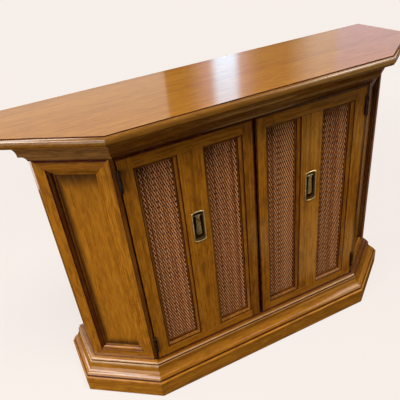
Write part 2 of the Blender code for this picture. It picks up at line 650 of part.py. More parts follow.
def build_door_frame(side_name, side, axis):
    """Stiles, rails, beads and the cane board of one door."""
    prefix = f"door_{side_name}"
    thick = (FRONT_Y, DOOR_BACK_Y)
    tall = (DOOR_BOTTOM, DOOR_TOP)
    across = (side * (OPENING_INNER_X + GAP), side * (OPENING_OUTER_X - GAP))
    hinge_stile = block((side * OPENING_OUTER_X, side * DOOR_OUTER_X), thick, tall)
    meeting_stile = block((side * MEETING_GAP / 2, side * OPENING_INNER_X), thick, tall)
    boards = [add_part(f"{prefix}_hinge_stile", hinge_stile, FRAME_WOOD, axis),
              add_part(f"{prefix}_meeting_stile", meeting_stile, FRAME_WOOD, axis),
              add_part(f"{prefix}_top_rail", block(across, thick, (OPENING_TOP, DOOR_TOP)), FRAME_WOOD, axis),
              add_part(f"{prefix}_bottom_rail", block(across, thick, (DOOR_BOTTOM, OPENING_BOTTOM)),
                       FRAME_WOOD, axis)]

    rebate = (OPENING_INNER_X - CANE_REBATE, OPENING_OUTER_X + CANE_REBATE,
              OPENING_BOTTOM - CANE_REBATE, OPENING_TOP + CANE_REBATE)
    pocket = block((side * rebate[0], side * rebate[1]), (BEAD_BACK_Y, DOOR_BACK_Y + OVERCUT), rebate[2:])
    cutter = add_cutter(f"{prefix}_rebate", pocket)
    for board in boards:
        combine(board, cutter)
    cane = block((side * (rebate[0] + GAP), side * (rebate[1] - GAP)),
                 (CANE_FRONT_Y, CANE_FRONT_Y + CANE_BOARD_THICKNESS), (rebate[2] + GAP, rebate[3] - GAP))
    add_part(f"{prefix}_cane_board", cane, CANE, axis)

    stile_near = DOOR_MIDDLE_X - CENTRE_STILE / 2
    stile_far = DOOR_MIDDLE_X + CENTRE_STILE / 2
    add_part(f"{prefix}_bead_inner", bead_ring(side, OPENING_INNER_X, stile_near), FRAME_WOOD, axis)
    add_part(f"{prefix}_bead_outer", bead_ring(side, stile_far, OPENING_OUTER_X), FRAME_WOOD, axis)
    centre = add_part(f"{prefix}_centre_stile",
                      block((side * stile_near, side * stile_far), (FRONT_Y, BEAD_BACK_Y),
                            (OPENING_BOTTOM + GAP, OPENING_TOP - GAP)), FRAME_WOOD, axis)
    mortise = cup_block(side, CUP_WALL + CUP_CLEARANCE, FRONT_Y - OVERCUT, CUP_BACK_Y + CUP_CLEARANCE)
    combine(centre, add_cutter(f"{prefix}_pull_mortise", mortise))


# Pulls

def cup_block(side, grow, front_y, back_y):
    """A block round the cup's mouth, grown by a wall or a clearance."""
    half_width, half_length = CUP_HALF_WIDTH + grow, CUP_HALF_LENGTH + grow
    x = side * DOOR_MIDDLE_X
    return block((x - half_width, x + half_width), (front_y, back_y),
                 (PULL_HEIGHT - half_length, PULL_HEIGHT + half_length))


def upright(side, height):
    """Stands an outline up at a door's middle: its X stays, its Y becomes height and its Z faces front."""
    return Matrix.Translation((side * DOOR_MIDDLE_X, 0.0, height)) @ Matrix.Rotation(math.pi / 2, 4, "X")


def build_pull_cup(side_name, side, axis):
    """Recessed cup with a flange that has arched ends, and the cross pin cast in it."""
    half_width = FLANGE_WIDTH / 2
    half_straight = FLANGE_LENGTH / 2 - FLANGE_ARCH
    outline = [*bulge((-half_width, half_straight), (half_width, half_straight), FLANGE_ARCH),
               *bulge((half_width, -half_straight), (-half_width, -half_straight), FLANGE_ARCH)]
    flange_back = FRONT_Y - GAP
    flange = outline_solid(outline, -flange_back, -flange_back + FLANGE_THICKNESS, upright(side, PULL_HEIGHT))
    prefix = f"door_{side_name}_pull"
    cup = add_part(f"{prefix}_cup", flange, BRASS, axis)
    shell = cup_block(side, CUP_WALL, flange_back - FLANGE_THICKNESS / 2, CUP_BACK_Y)
    combine(cup, add_cutter(f"{prefix}_shell", shell), "UNION")
    hollow = cup_block(side, 0.0, FRONT_Y - OVERCUT, CUP_BACK_Y - CUP_WALL)
    combine(cup, add_cutter(f"{prefix}_hollow", hollow))
    pin = rod((side * DOOR_MIDDLE_X, DROP_PIN_Y, DROP_PIN_Z), DROP_PIN_RADIUS,
              2 * CUP_HALF_WIDTH + CUP_WALL, "X")
    combine(cup, add_cutter(f"{prefix}_pin", pin), "UNION")


def build_pull_drop(side_name, side, axis):
    """Hanging drop: a bored barrel on the cross pin and a tongue that widens to a round foot."""
    neck, foot = DROP_NECK_WIDTH / 2, DROP_FOOT_WIDTH / 2
    foot_end = -DROP_LENGTH + DROP_FOOT_BULGE
    outline = [(-neck, 0.0), (neck, 0.0), *bulge((foot, foot_end), (-foot, foot_end), DROP_FOOT_BULGE)]
    tongue = outline_solid(outline, -DROP_PIN_Y - DROP_THICKNESS / 2, -DROP_PIN_Y + DROP_THICKNESS / 2,
                           upright(side, DROP_PIN_Z))
    name = f"door_{side_name}_pull_drop"
    drop = add_part(name, tongue, BRASS, axis)
    centre = (side * DOOR_MIDDLE_X, DROP_PIN_Y, DROP_PIN_Z)
    barrel = rod(centre, DROP_BARREL_RADIUS, DROP_BARREL_LENGTH, "X")
    combine(drop, add_cutter(f"{name}_barrel", barrel), "UNION")
    bore = rod(centre, DROP_PIN_RADIUS + DROP_PIN_PLAY, DROP_BARREL_LENGTH + OVERCUT, "X")
    combine(drop, add_cutter(f"{name}_bore", bore))


# Hinges

def leaf_outline(side, way):
    """Plan of a hinge leaf with its barrel: way is 1 for the jamb's leaf and -1 for the door's."""
    near, far = LEAF_PLAY / 2, LEAF_PLAY / 2 + LEAF_THICKNESS
    tail = FRONT_Y + LEAF_DEPTH - HINGE_AXIS_Y
    start, end = (math.degrees(math.acos(x / BARREL_RADIUS)) for x in (near, far))
    knuckle = arc((0.0, 0.0), (BARREL_RADIUS, BARREL_RADIUS), start, end + 360, ROUND_SIDES)
    points = [(near, tail), *knuckle, (far, tail)]
    return [(side * (HINGE_AXIS_X + way * x), HINGE_AXIS_Y + y) for x, y in points]


def knuckle_space(side, low, high):
    """The space round the barrel that a leaf leaves to the other leaf's knuckle."""
    reach = BARREL_RADIUS + LEAF_PLAY
    return block((side * (HINGE_AXIS_X - reach), side * (HINGE_AXIS_X + reach)),
                 (HINGE_AXIS_Y - reach, HINGE_AXIS_Y + reach), (low, high))


def build_hinge(name, side, bottom, axis):
    """A butt hinge: a leaf on the jamb with the pin and outer knuckles, and a leaf on the door."""
    top = bottom + HINGE_HEIGHT
    third = HINGE_HEIGHT / 3
    centre = (side * HINGE_AXIS_X, HINGE_AXIS_Y, bottom + HINGE_HEIGHT / 2)
    jamb_leaf = add_part(f"{name}_jamb_leaf", outline_solid(leaf_outline(side, 1), bottom, top), BRONZE)
    middle = knuckle_space(side, bottom + third, top - third)
    combine(jamb_leaf, add_cutter(f"{name}_middle_space", middle))
    pin = rod(centre, PIN_RADIUS, HINGE_HEIGHT - third, "Z")
    combine(jamb_leaf, add_cutter(f"{name}_pin", pin), "UNION")

    door_leaf = add_part(f"{name}_door_leaf", outline_solid(leaf_outline(side, -1), bottom, top),
                         BRONZE, axis)
    lower = knuckle_space(side, bottom - OVERCUT, bottom + third + GAP)
    upper = knuckle_space(side, top - third - GAP, top + OVERCUT)
    bore = rod(centre, PIN_RADIUS + PIN_PLAY, HINGE_HEIGHT, "Z")
    for label, mesh in (("lower_space", lower), ("upper_space", upper), ("bore", bore)):
        combine(door_leaf, add_cutter(f"{name}_{label}", mesh))


# Catch

def build_catch():
    """A double magnetic catch under the head rail."""
    front = DOOR_BACK_Y + 2 * GAP + STRIKE_THICKNESS
    add_part("door_catch", block((-CATCH_WIDTH / 2, CATCH_WIDTH / 2), (front, front + CATCH_DEPTH),
                                 (CORNICE_BOTTOM - GAP - CATCH_HEIGHT, CORNICE_BOTTOM - GAP)), PLASTIC)


def build_strike(side_name, side, axis):
    """The steel plate that the catch holds, on the back of a meeting stile."""
    near = MEETING_GAP / 2 + STRIKE_INSET
    back = DOOR_BACK_Y + GAP
    top = CORNICE_BOTTOM - GAP - (CATCH_HEIGHT - STRIKE_HEIGHT) / 2
    plate = block((side * near, side * (near + STRIKE_WIDTH)), (back, back + STRIKE_THICKNESS),
                  (top - STRIKE_HEIGHT, top))
    add_part(f"door_{side_name}_strike_plate", plate, STEEL, axis)


def build_door(side_name, side):
    """One door with its hinges, pull and strike plate, carried by its hinge axis."""
    axis = add_axis(f"door_{side_name}_axis", Vector((side * HINGE_AXIS_X, HINGE_AXIS_Y, DOOR_BOTTOM)))
    build_door_frame(side_name, side, axis)
    build_hinge(f"hinge_{side_name}_top", side, DOOR_TOP - HINGE_INSET - HINGE_HEIGHT, axis)
    build_hinge(f"hinge_{side_name}_bottom", side, DOOR_BOTTOM + HINGE_INSET, axis)
    build_strike(side_name, side, axis)
    build_pull_cup(side_name, side, axis)
    drop_point = Vector((side * DOOR_MIDDLE_X, DROP_PIN_Y, DROP_PIN_Z))
    build_pull_drop(side_name, side, add_axis(f"drop_{side_name}_axis", drop_point, axis))


def main():
    """Build the cabinet from the top down, then its doors."""
    build_top()
    build_mouldings()
    build_case()
    build_catch()
    for side_name, side in SIDES.items():
        build_canted_end(side_name, side)
        build_door(side_name, side)


main()
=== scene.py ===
"""Looks of a console cabinet with canted ends and a pair of cane-panelled doors.

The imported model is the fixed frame. Each board of it gets eased edges, its own grain and a lacquer,
and the cane, pulls, hinges, catch and screws are modelled here in full. Units are metres, +Z is up,
the cabinet faces -Y, and left and right are as seen from the front.
"""
import json
import logging
import math
import random
from dataclasses import dataclass, field
from enum import Enum
from typing import Callable, Iterable, Optional, Sequence

import bmesh
import bpy
import numpy as np
from mathutils import Euler, Matrix, Vector

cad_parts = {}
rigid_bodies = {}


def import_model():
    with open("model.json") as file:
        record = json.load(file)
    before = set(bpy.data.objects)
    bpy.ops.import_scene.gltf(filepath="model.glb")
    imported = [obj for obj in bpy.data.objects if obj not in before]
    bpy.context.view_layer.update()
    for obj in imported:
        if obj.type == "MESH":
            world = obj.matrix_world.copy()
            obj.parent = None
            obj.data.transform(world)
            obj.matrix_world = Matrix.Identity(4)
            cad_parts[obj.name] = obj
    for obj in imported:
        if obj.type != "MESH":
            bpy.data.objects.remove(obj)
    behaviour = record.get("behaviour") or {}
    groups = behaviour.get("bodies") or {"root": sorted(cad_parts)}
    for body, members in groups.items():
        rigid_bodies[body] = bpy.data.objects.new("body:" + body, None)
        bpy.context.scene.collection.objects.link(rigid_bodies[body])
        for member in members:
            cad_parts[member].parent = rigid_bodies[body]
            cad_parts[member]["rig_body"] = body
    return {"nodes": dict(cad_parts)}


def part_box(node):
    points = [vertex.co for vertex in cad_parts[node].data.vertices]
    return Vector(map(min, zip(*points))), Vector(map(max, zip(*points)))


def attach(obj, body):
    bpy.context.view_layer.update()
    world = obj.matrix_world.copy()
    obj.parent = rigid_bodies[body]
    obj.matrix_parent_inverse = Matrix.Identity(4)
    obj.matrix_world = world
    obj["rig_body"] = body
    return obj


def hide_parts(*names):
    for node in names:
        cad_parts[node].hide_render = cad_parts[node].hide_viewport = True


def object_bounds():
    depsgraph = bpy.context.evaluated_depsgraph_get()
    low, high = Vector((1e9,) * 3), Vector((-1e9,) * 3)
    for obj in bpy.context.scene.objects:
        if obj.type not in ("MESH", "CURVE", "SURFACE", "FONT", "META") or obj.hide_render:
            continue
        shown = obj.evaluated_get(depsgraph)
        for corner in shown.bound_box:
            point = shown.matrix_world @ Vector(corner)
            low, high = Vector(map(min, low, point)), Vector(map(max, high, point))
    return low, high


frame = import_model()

LOG = logging.getLogger("cabinet")
CAD_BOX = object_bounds()
SEED = 1962
RGB = tuple[float, float, float]
Point = tuple[float, float, float]
Pair = tuple[float, float]
Socket = bpy.types.NodeSocket
Mesh = bpy.types.Mesh
Rule = Callable[[np.ndarray], np.ndarray]
QUARTER = math.pi / 2
GRAIN = "grain"       # corner attribute: metres along and across the grain
EDGE = "edge"         # point attribute: 1 on an eased edge, where it shows wear; on the base cap, 1 along its painted highlight lines
SHADE_AND_PATINA = "glaze"       # point attribute: 1 where painted shade darkens a recess in wood and cane, and where metal has patina
TINT = "tint"         # point attribute: a strand's own shade
MARGIN_SHADE = "tone"         # corner attribute: distance from each edge, as shares of the margin of painted shade there


class Side(Enum):
    """The two ends of the cabinet, with the sign of X there."""

    LEFT = -1
    RIGHT = 1

    @property
    def word(self) -> str:
        """The side's name as the frame's nodes spell it."""
        return self.name.lower()


class Grain(Enum):
    """How a board's grain runs: the plan heading of its face in degrees, and whether the grain stands up."""

    LENGTH = (0.0, False)
    DEPTH = (90.0, False)
    HEIGHT = (0.0, True)
    END_HEIGHT = (90.0, True)
    LEFT_CANT = (-36.0, False)
    RIGHT_CANT = (36.0, False)
    LEFT_CANT_HEIGHT = (-36.0, True)
    RIGHT_CANT_HEIGHT = (36.0, True)

    def axes(self) -> np.ndarray:
        """Rows that turn a point into distances along the grain, across the face and into the board.

        Returns:
            A 3 by 3 array.
        """
        heading, upright = self.value
        turn = math.radians(heading)
        along = np.array((math.cos(turn), math.sin(turn), 0.0))
        into = np.array((-math.sin(turn), math.cos(turn), 0.0))
        up = np.array((0.0, 0.0, 1.0))
        return np.array((up, along, into) if upright else (along, up, into))


# Node drafting

class NodeDraft:
    """A node tree under construction, with short calls for the nodes that it uses."""

    def __init__(self, owner: bpy.types.Material | bpy.types.World) -> None:
        """Take up the owner's node tree."""
        owner.use_nodes = True
        self.tree = owner.node_tree

    def node(self, kind: str, feeds: Iterable[tuple[int | str, object]] = (),
             **settings: object) -> bpy.types.Node:
        """Add a node.

        Args:
            kind: Its Blender type without the prefix.
            feeds: Pairs of an input's number or name and what feeds it.
            **settings: Its properties.

        Returns:
            The new node.
        """
        made = self.tree.nodes.new(f"ShaderNode{kind}")
        for key, value in settings.items():
            setattr(made, key, value)
        for key, value in feeds:
            self.feed(made.inputs[key], value)
        return made

    def feed(self, socket: Socket, value: object) -> None:
        """Link a socket to an output, or set its constant.

        Args:
            socket: The input to feed.
            value: An output, a number, a vector or a colour.
        """
        if isinstance(value, Socket):
            self.tree.links.new(value, socket)
        else:
            socket.default_value = (*value, 1.0) if socket.type == "RGBA" else value

    def math(self, operation: str, *values: object) -> Socket:
        """Combine numbers with one operation."""
        return self.node("Math", enumerate(values), operation=operation).outputs[0]

    def weighted(self, *terms: tuple[Socket, float], start: object = 0.0) -> Socket:
        """Add up numbers by weight.

        Args:
            *terms: Pairs of a number and its weight.
            start: What they are added to.

        Returns:
            The sum's output.
        """
        total = start
        for value, weight in terms:
            total = self.math("MULTIPLY_ADD", value, weight, total)
        return total

    def span(self, value: Socket, *limits: float) -> Socket:
        """Map a number, clamped and eased, from one range to 0 to 1 or to a second range."""
        feeds = enumerate((value, *limits))
        return self.node("MapRange", feeds, interpolation_type="SMOOTHSTEP", clamp=True).outputs[0]


class FinishDraft(NodeDraft):
    """The node material of a finish, around one Principled shader."""

    open_view: float = 0.88
    shut_view: float = 0.42

    def __init__(self, name: str) -> None:
        """Start the material.

        Args:
            name: The material's name.
        """
        self.material = bpy.data.materials.new(name)
        super().__init__(self.material)
        self.shader = self.tree.nodes["Principled BSDF"]

    def attribute(self, name: str, output: str = "Fac") -> Socket:
        """Read a mesh attribute."""
        return self.node("Attribute", attribute_name=name).outputs[output]

    def noise(self, vector: Socket, frequencies: Point, detail: float = 3.0, roughness: float = 0.55,
              distortion: float = 0.0) -> Socket:
        """Noise in space.

        Args:
            vector: Where it is read.
            frequencies: How often it repeats along each axis, per metre.
            detail: Its octaves.
            roughness: How strong the finer octaves are.
            distortion: How far it is warped.

        Returns:
            The factor output.
        """
        scaled = self.node("VectorMath", enumerate((vector, frequencies)), operation="MULTIPLY").outputs[0]
        feeds = {"Vector": scaled, "Scale": 1.0, "Detail": detail, "Roughness": roughness,
                 "Distortion": distortion}
        return self.node("TexNoise", feeds.items()).outputs["Fac"]

    def ramp(self, factor: Socket, *stops: tuple[float, RGB]) -> Socket:
        """A colour ramp.

        Args:
            factor: What drives it.
            *stops: Pairs of position and colour.

        Returns:
            The colour output.
        """
        made = self.node("ValToRGB", [(0, factor)])
        elements = made.color_ramp.elements
        while len(elements) < len(stops):
            elements.new(0.5)
        for element, (position, colour) in zip(elements, stops):
            element.position = position
            element.color = (*colour, 1.0)
        return made.outputs[0]

    def mix(self, factor: object, first: object, second: object) -> Socket:
        """Mix two colours, by how much of the second shows."""
        return self.node("Mix", zip((0, 6, 7), (factor, first, second)), data_type="RGBA").outputs[2]

    def recess(self, reach: float) -> Socket:
        """How deep a point lies in a crevice, by ambient occlusion, where painted shade darkens it, partly
        standing for glazing.
        """
        view = self.node("AmbientOcclusion", [("Distance", reach)], samples=8).outputs["AO"]
        return self.span(view, self.shut_view, self.open_view, 1.0, 0.0)

    def margin(self) -> Socket:
        """How much painted shade a point gets near the edges of its board.

        Returns:
            A factor output: 1 at a shaded edge, falling to 0 where its margin ends.
        """
        tone = self.node("Attribute", attribute_name=MARGIN_SHADE).outputs
        nearest = tone["Alpha"]
        for axis in self.node("SeparateXYZ", [(0, tone["Vector"])]).outputs:
            nearest = self.math("MINIMUM", nearest, axis)
        return self.span(nearest, 0.0, 1.0, 1.0, 0.0)

    def bump(self, height: Socket, strength: float, distance: float) -> None:
        """Give the shader a fine relief from a height."""
        feeds = {"Strength": strength, "Distance": distance, "Height": height}
        self.set(Normal=self.node("Bump", feeds.items()).outputs[0])

    def set(self, **values: object) -> None:
        """Feed the shader's own sockets, named with underscores for spaces."""
        for key, value in values.items():
            self.feed(self.shader.inputs[key.replace("_", " ")], value)


class StageDraft(NodeDraft):
    """The nodes of the world, the floor or a card."""

    def __init__(self, owner: bpy.types.Material | bpy.types.World) -> None:
        """Take up the owner's node tree and clear its usual shader away.

        Args:
            owner: The material or the world.
        """
        super().__init__(owner)
        for node in list(self.tree.nodes):
            if node.type.startswith("OUTPUT"):
                self.output = node
            else:
                self.tree.nodes.remove(node)

    def shader(self, kind: str, *inputs: object) -> Socket:
        """Add a shader and feed its inputs in order."""
        return self.node(kind, enumerate(inputs)).outputs[0]

    def seen_directly(self) -> Socket:
        """A factor that is 1 for camera, glossy and transmission rays.

        Returns:
            The factor output.
        """
        path = self.node("LightPath").outputs
        mirrored = self.math("MAXIMUM", path["Is Camera Ray"], path["Is Glossy Ray"])
        return self.math("MAXIMUM", mirrored, path["Is Transmission Ray"])

    def show(self, shader: Socket) -> None:
        """Let a shader be what the tree gives."""
        self.feed(self.output.inputs["Surface"], shader)


# Finishes

@dataclass(frozen=True)
class Finish:
    """What a piece is finished in: its material's name and the frame's slot for it."""

    name: str
    slot: str

    def material(self) -> bpy.types.Material:
        """Draft the node material.

        Returns:
            The material.
        """
        draft = FinishDraft(self.name)
        self.paint(draft)
        return draft.material

    def paint(self, draft: FinishDraft) -> None:
        """Draft the nodes that each kind of finish has of its own."""
        raise NotImplementedError


@dataclass(frozen=True)
class WoodFinish(Finish):
    """A stained and lacquered wood with fibres, pores, growth bands, edge wear, painted highlights and
    painted shade in recesses.

    The three colours run from the late wood to the bright fibres. Frequencies are per metre, and shares
    say how much each noise counts in the colour. Spans are the two ranges of a mapped noise.
    """

    dark: RGB
    middle: RGB
    light: RGB
    roughness: float = 0.19
    shine: float = 0.42
    coat: float = 0.0
    coat_roughness: float = 0.1
    figure: Point = (0.45, 24.0, 24.0)
    fibre: Point = (6.0, 280.0, 280.0)
    pore: Point = (24.0, 900.0, 900.0)
    growth: Point = (0.7, 70.0, 70.0)
    mottle: Point = (26.0, 110.0, 110.0)
    handling: Point = (60.0, 60.0, 60.0)
    figure_share: float = 0.34
    fibre_share: float = 0.28
    mottle_share: float = 0.38
    band: float = 0.10
    contrast: float = 0.062
    pore_span: Pair = (0.58, 0.70)
    pore_depth: float = 0.5
    # Edge wear, and on the base cap its painted highlight lines, in a paler tone.
    worn: float = 0.32
    worn_tone: Optional[RGB] = None
    worn_span: tuple[float, ...] = (0.25, 0.6, 0.5, 1.0)
    # The dark colour of painted shade in crevices and margins, partly standing for glazing; its reach, spans
    # and roughness follow.
    glaze: RGB = (0.042, 0.0052, 0.0020)
    glaze_reach: float = 0.007
    glaze_span: tuple[float, ...] = (0.1, 0.6, 0.78, 1.0)
    glaze_roughness: float = 0.02
    fibre_roughness: float = 0.14
    pore_roughness: float = 0.12
    relief: float = 0.07
    relief_depth: float = 0.0003

    def paint(self, draft: FinishDraft) -> None:
        """Draft the grain, the wear and painted highlights on it, the painted shade in its recesses, and the
        gloss.

        Args:
            draft: The material under construction.
        """
        grain = draft.attribute(GRAIN, "Vector")
        figure = draft.noise(grain, self.figure, detail=5.0, roughness=0.6, distortion=0.25)
        fibre = draft.noise(grain, self.fibre, roughness=0.6)
        pores = draft.span(draft.noise(grain, self.pore, detail=1.0), *self.pore_span)
        bands = draft.noise(grain, self.growth, detail=2.0, roughness=0.5, distortion=0.5)
        mottle = draft.noise(grain, self.mottle, detail=4.0, roughness=0.65, distortion=0.6)
        handling = draft.noise(grain, self.handling)
        tone = draft.weighted((figure, self.figure_share - self.band), (fibre, self.fibre_share),
                              (bands, self.band), (mottle, self.mottle_share))
        colour = draft.ramp(tone, (0.5 - self.contrast, self.dark), (0.5, self.middle),
                            (0.5 + self.contrast, self.light))
        colour = draft.mix(draft.math("MULTIPLY", pores, self.pore_depth), colour, self.dark)
        # Paler edges: wear, and on the base cap the painted highlight lines.
        edge = draft.math("MULTIPLY", draft.attribute(EDGE), draft.span(handling, *self.worn_span))
        bare_and_highlight = self.worn_tone or tuple(min(1.0, 1.5 * value + 0.02) for value in self.light)
        colour = draft.mix(draft.math("MULTIPLY", edge, self.worn), colour, bare_and_highlight)
        # Painted shade in crevices, in marked recesses and in the board's margins, partly standing for
        # glazing.
        glaze = draft.math("MAXIMUM", draft.recess(self.glaze_reach), draft.attribute(SHADE_AND_PATINA))
        glaze = draft.math("MAXIMUM", glaze, draft.margin())
        glaze = draft.math("MULTIPLY", glaze, draft.span(handling, *self.glaze_span))
        rough = draft.weighted((fibre, self.fibre_roughness), (pores, self.pore_roughness),
                               (glaze, self.glaze_roughness), start=self.roughness - self.fibre_roughness / 2)
        draft.set(Base_Color=draft.mix(glaze, colour, self.glaze), Roughness=rough,
                  Specular_IOR_Level=self.shine)
        if self.coat:
            draft.set(Coat_Weight=self.coat, Coat_Roughness=self.coat_roughness)
        draft.bump(draft.weighted((fibre, 0.5), (pores, -1.0)), self.relief, self.relief_depth)


@dataclass(frozen=True)
class CaneFinish(Finish):
    """Split cane: fibres along each strand, and painted shade where it dives and at its edges."""

    dark: RGB
    middle: RGB
    light: RGB
    roughness: float = 0.55
    shine: float = 0.25
    fibre: Point = (70.0, 1500.0, 1500.0)
    patch: Point = (55.0, 120.0, 120.0)
    fibre_share: float = 0.35
    patch_share: float = 0.35
    own_share: float = 0.30
    fibre_roughness: float = 0.2
    stops: Point = (0.30, 0.50, 0.72)
    relief: float = 0.2
    relief_depth: float = 0.0002

    def paint(self, draft: FinishDraft) -> None:
        """Draft the fibres, each strand's own shade and the painted shade where it dives and at its edges.

        Args:
            draft: The material under construction.
        """
        grain = draft.attribute(GRAIN, "Vector")
        fibre = draft.noise(grain, self.fibre, roughness=0.6)
        patch = draft.noise(grain, self.patch, detail=2.0)
        tone = draft.weighted((patch, self.patch_share), (fibre, self.fibre_share),
                              (draft.attribute(TINT), self.own_share))
        colour = draft.ramp(tone, *zip(self.stops, (self.dark, self.middle, self.light)))
        rough = draft.weighted((fibre, self.fibre_roughness), start=self.roughness - self.fibre_roughness / 2)
        draft.set(Base_Color=draft.mix(draft.attribute(SHADE_AND_PATINA), colour, self.dark), Roughness=rough,
                  Specular_IOR_Level=self.shine)
        draft.bump(fibre, self.relief, self.relief_depth)


@dataclass(frozen=True)
class MetalFinish(Finish):
    """A metal with patina in its recesses, bright rubbed edges and a fine brushed relief."""

    body: RGB
    patina: RGB
    bright: RGB
    roughness: float = 0.32
    patina_roughness: float = 0.55
    rubbed: float = 0.8
    metallic: float = 1.0
    blotch: Point = (160.0, 160.0, 160.0)
    fine: Point = (1400.0, 1400.0, 1400.0)
    aged_span: Pair = (0.38, 0.66)
    aged_share: float = 0.55
    rub_span: Pair = (0.7, 0.4)
    fine_roughness: float = 0.1
    relief: float = 0.1
    relief_depth: float = 0.0002

    def paint(self, draft: FinishDraft) -> None:
        """Draft the patina, the rubbed edges and the relief.

        Args:
            draft: The material under construction.
        """
        place = draft.node("TexCoord").outputs["Object"]
        blotch = draft.noise(place, self.blotch, detail=4.0, roughness=0.6, distortion=0.4)
        fine = draft.noise(place, self.fine, detail=2.0)
        aged = draft.math("MULTIPLY", draft.span(blotch, *self.aged_span), self.aged_share)
        aged = draft.math("MAXIMUM", aged, draft.attribute(SHADE_AND_PATINA))
        rub = draft.math("MULTIPLY", draft.attribute(EDGE), draft.span(blotch, *self.rub_span))
        colour = draft.mix(aged, self.body, self.patina)
        colour = draft.mix(draft.math("MULTIPLY", rub, self.rubbed), colour, self.bright)
        rough = draft.span(aged, 0.0, 1.0, self.roughness, self.patina_roughness)
        draft.set(Base_Color=colour, Roughness=draft.weighted((fine, self.fine_roughness), start=rough),
                  Metallic=self.metallic)
        draft.bump(draft.weighted((fine, 0.4), start=blotch), self.relief, self.relief_depth)


@dataclass(frozen=True)
class PlasticFinish(Finish):
    """Moulded plastic with a fine spark texture and scuffed edges."""

    body: RGB
    scuff: RGB
    roughness: float = 0.5
    spark: Point = (1800.0, 1800.0, 1800.0)
    cloud: Point = (120.0, 120.0, 120.0)
    cloud_share: float = 0.35
    edge_share: float = 0.4
    spark_roughness: float = 0.2
    relief: float = 0.25
    relief_depth: float = 0.0002

    def paint(self, draft: FinishDraft) -> None:
        """Draft the cloudy colour, the scuffs and the spark texture.

        Args:
            draft: The material under construction.
        """
        place = draft.node("TexCoord").outputs["Object"]
        spark = draft.noise(place, self.spark)
        cloud = draft.math("MULTIPLY", draft.noise(place, self.cloud), self.cloud_share)
        edge = draft.math("MULTIPLY", draft.attribute(EDGE), self.edge_share)
        colour = draft.mix(edge, draft.mix(cloud, self.body, self.scuff), self.scuff)
        rough = draft.weighted((spark, self.spark_roughness), start=self.roughness - self.spark_roughness / 2)
        draft.set(Base_Color=colour, Roughness=rough)
        draft.bump(spark, self.relief, self.relief_depth)


TOP_LACQUER = WoodFinish("polished_top", "top_wood", (0.246, 0.0925, 0.0086), (0.338, 0.1338, 0.0121),
                         (0.426, 0.1805, 0.0183), roughness=0.3, shine=0.02, coat=0.78, coat_roughness=0.09,
                         figure=(0.35, 40.0, 40.0), fibre=(8.0, 330.0, 330.0), pore_depth=0.3, band=0.08,
                         contrast=0.12, relief=0.03)
# A darker copy of the top's wood: painted shade on the top's nose.
NOSE_LACQUER = WoodFinish("polished_nose", "top_wood", (0.120, 0.0454, 0.0060), (0.176, 0.0700, 0.0082),
                          (0.238, 0.0999, 0.0119), roughness=0.12, shine=0.68, contrast=0.12, relief=0.01)
# A dark matte copy of the top's wood: the painted shadow line in the top's step.
STEP_SHADOW = WoodFinish("glazed_step", "top_wood", (0.030, 0.0060, 0.0016), (0.042, 0.0085, 0.0022),
                        (0.060, 0.0130, 0.0034), roughness=0.8, shine=0.04, worn=0.0)
# Its pale wear tone paints highlight lines along the base cap's bead and step.
BASE_LACQUER = WoodFinish("polished_base", "frame_wood", (0.179, 0.0619, 0.0053), (0.264, 0.0971, 0.0069),
                          (0.349, 0.1367, 0.0099), roughness=0.12, shine=0.7, contrast=0.1, relief=0.01,
                          worn=0.7, worn_tone=(0.68, 0.45, 0.24))
PLINTH_LACQUER = WoodFinish("satin_plinth", "frame_wood", (0.236, 0.0837, 0.0068), (0.346, 0.1303, 0.0092),
                            (0.448, 0.1805, 0.0135), roughness=0.34, shine=0.26)
FRAME_LACQUER = WoodFinish("satin_frame", "frame_wood", (0.189, 0.0621, 0.0047), (0.281, 0.0990, 0.0061),
                           (0.373, 0.1413, 0.0088))
SHADED_LACQUER = WoodFinish("shaded_frame", "frame_wood", (0.150, 0.0488, 0.0044), (0.222, 0.0765, 0.0055),
                            (0.298, 0.1105, 0.0077))
# A lighter copy of the frame's lacquer: painted light on the canted ends' front stiles.
LIT_LACQUER = WoodFinish("satin_end", "frame_wood", (0.231, 0.0800, 0.0059), (0.341, 0.1248, 0.0078),
                         (0.442, 0.1741, 0.0114))
# Its dark colour is the painted shade of the panel's border under the frame and cornice.
PANEL_LACQUER = WoodFinish("satin_panel", "panel_wood", (0.220, 0.0762, 0.0059), (0.325, 0.1185, 0.0076),
                           (0.426, 0.1678, 0.0114), fibre=(9.0, 300.0, 300.0), pore_depth=0.4,
                           contrast=0.095, glaze=(0.055, 0.0185, 0.0030))
CORNICE_LACQUER = WoodFinish("satin_cornice", "frame_wood", (0.143, 0.0596, 0.0156), (0.210, 0.0930, 0.0240),
                             (0.283, 0.1317, 0.0363))
BEAD_STAIN = WoodFinish("stained_bead", "frame_wood", (0.115, 0.0395, 0.0045), (0.173, 0.0606, 0.0057),
                        (0.242, 0.0914, 0.0081))
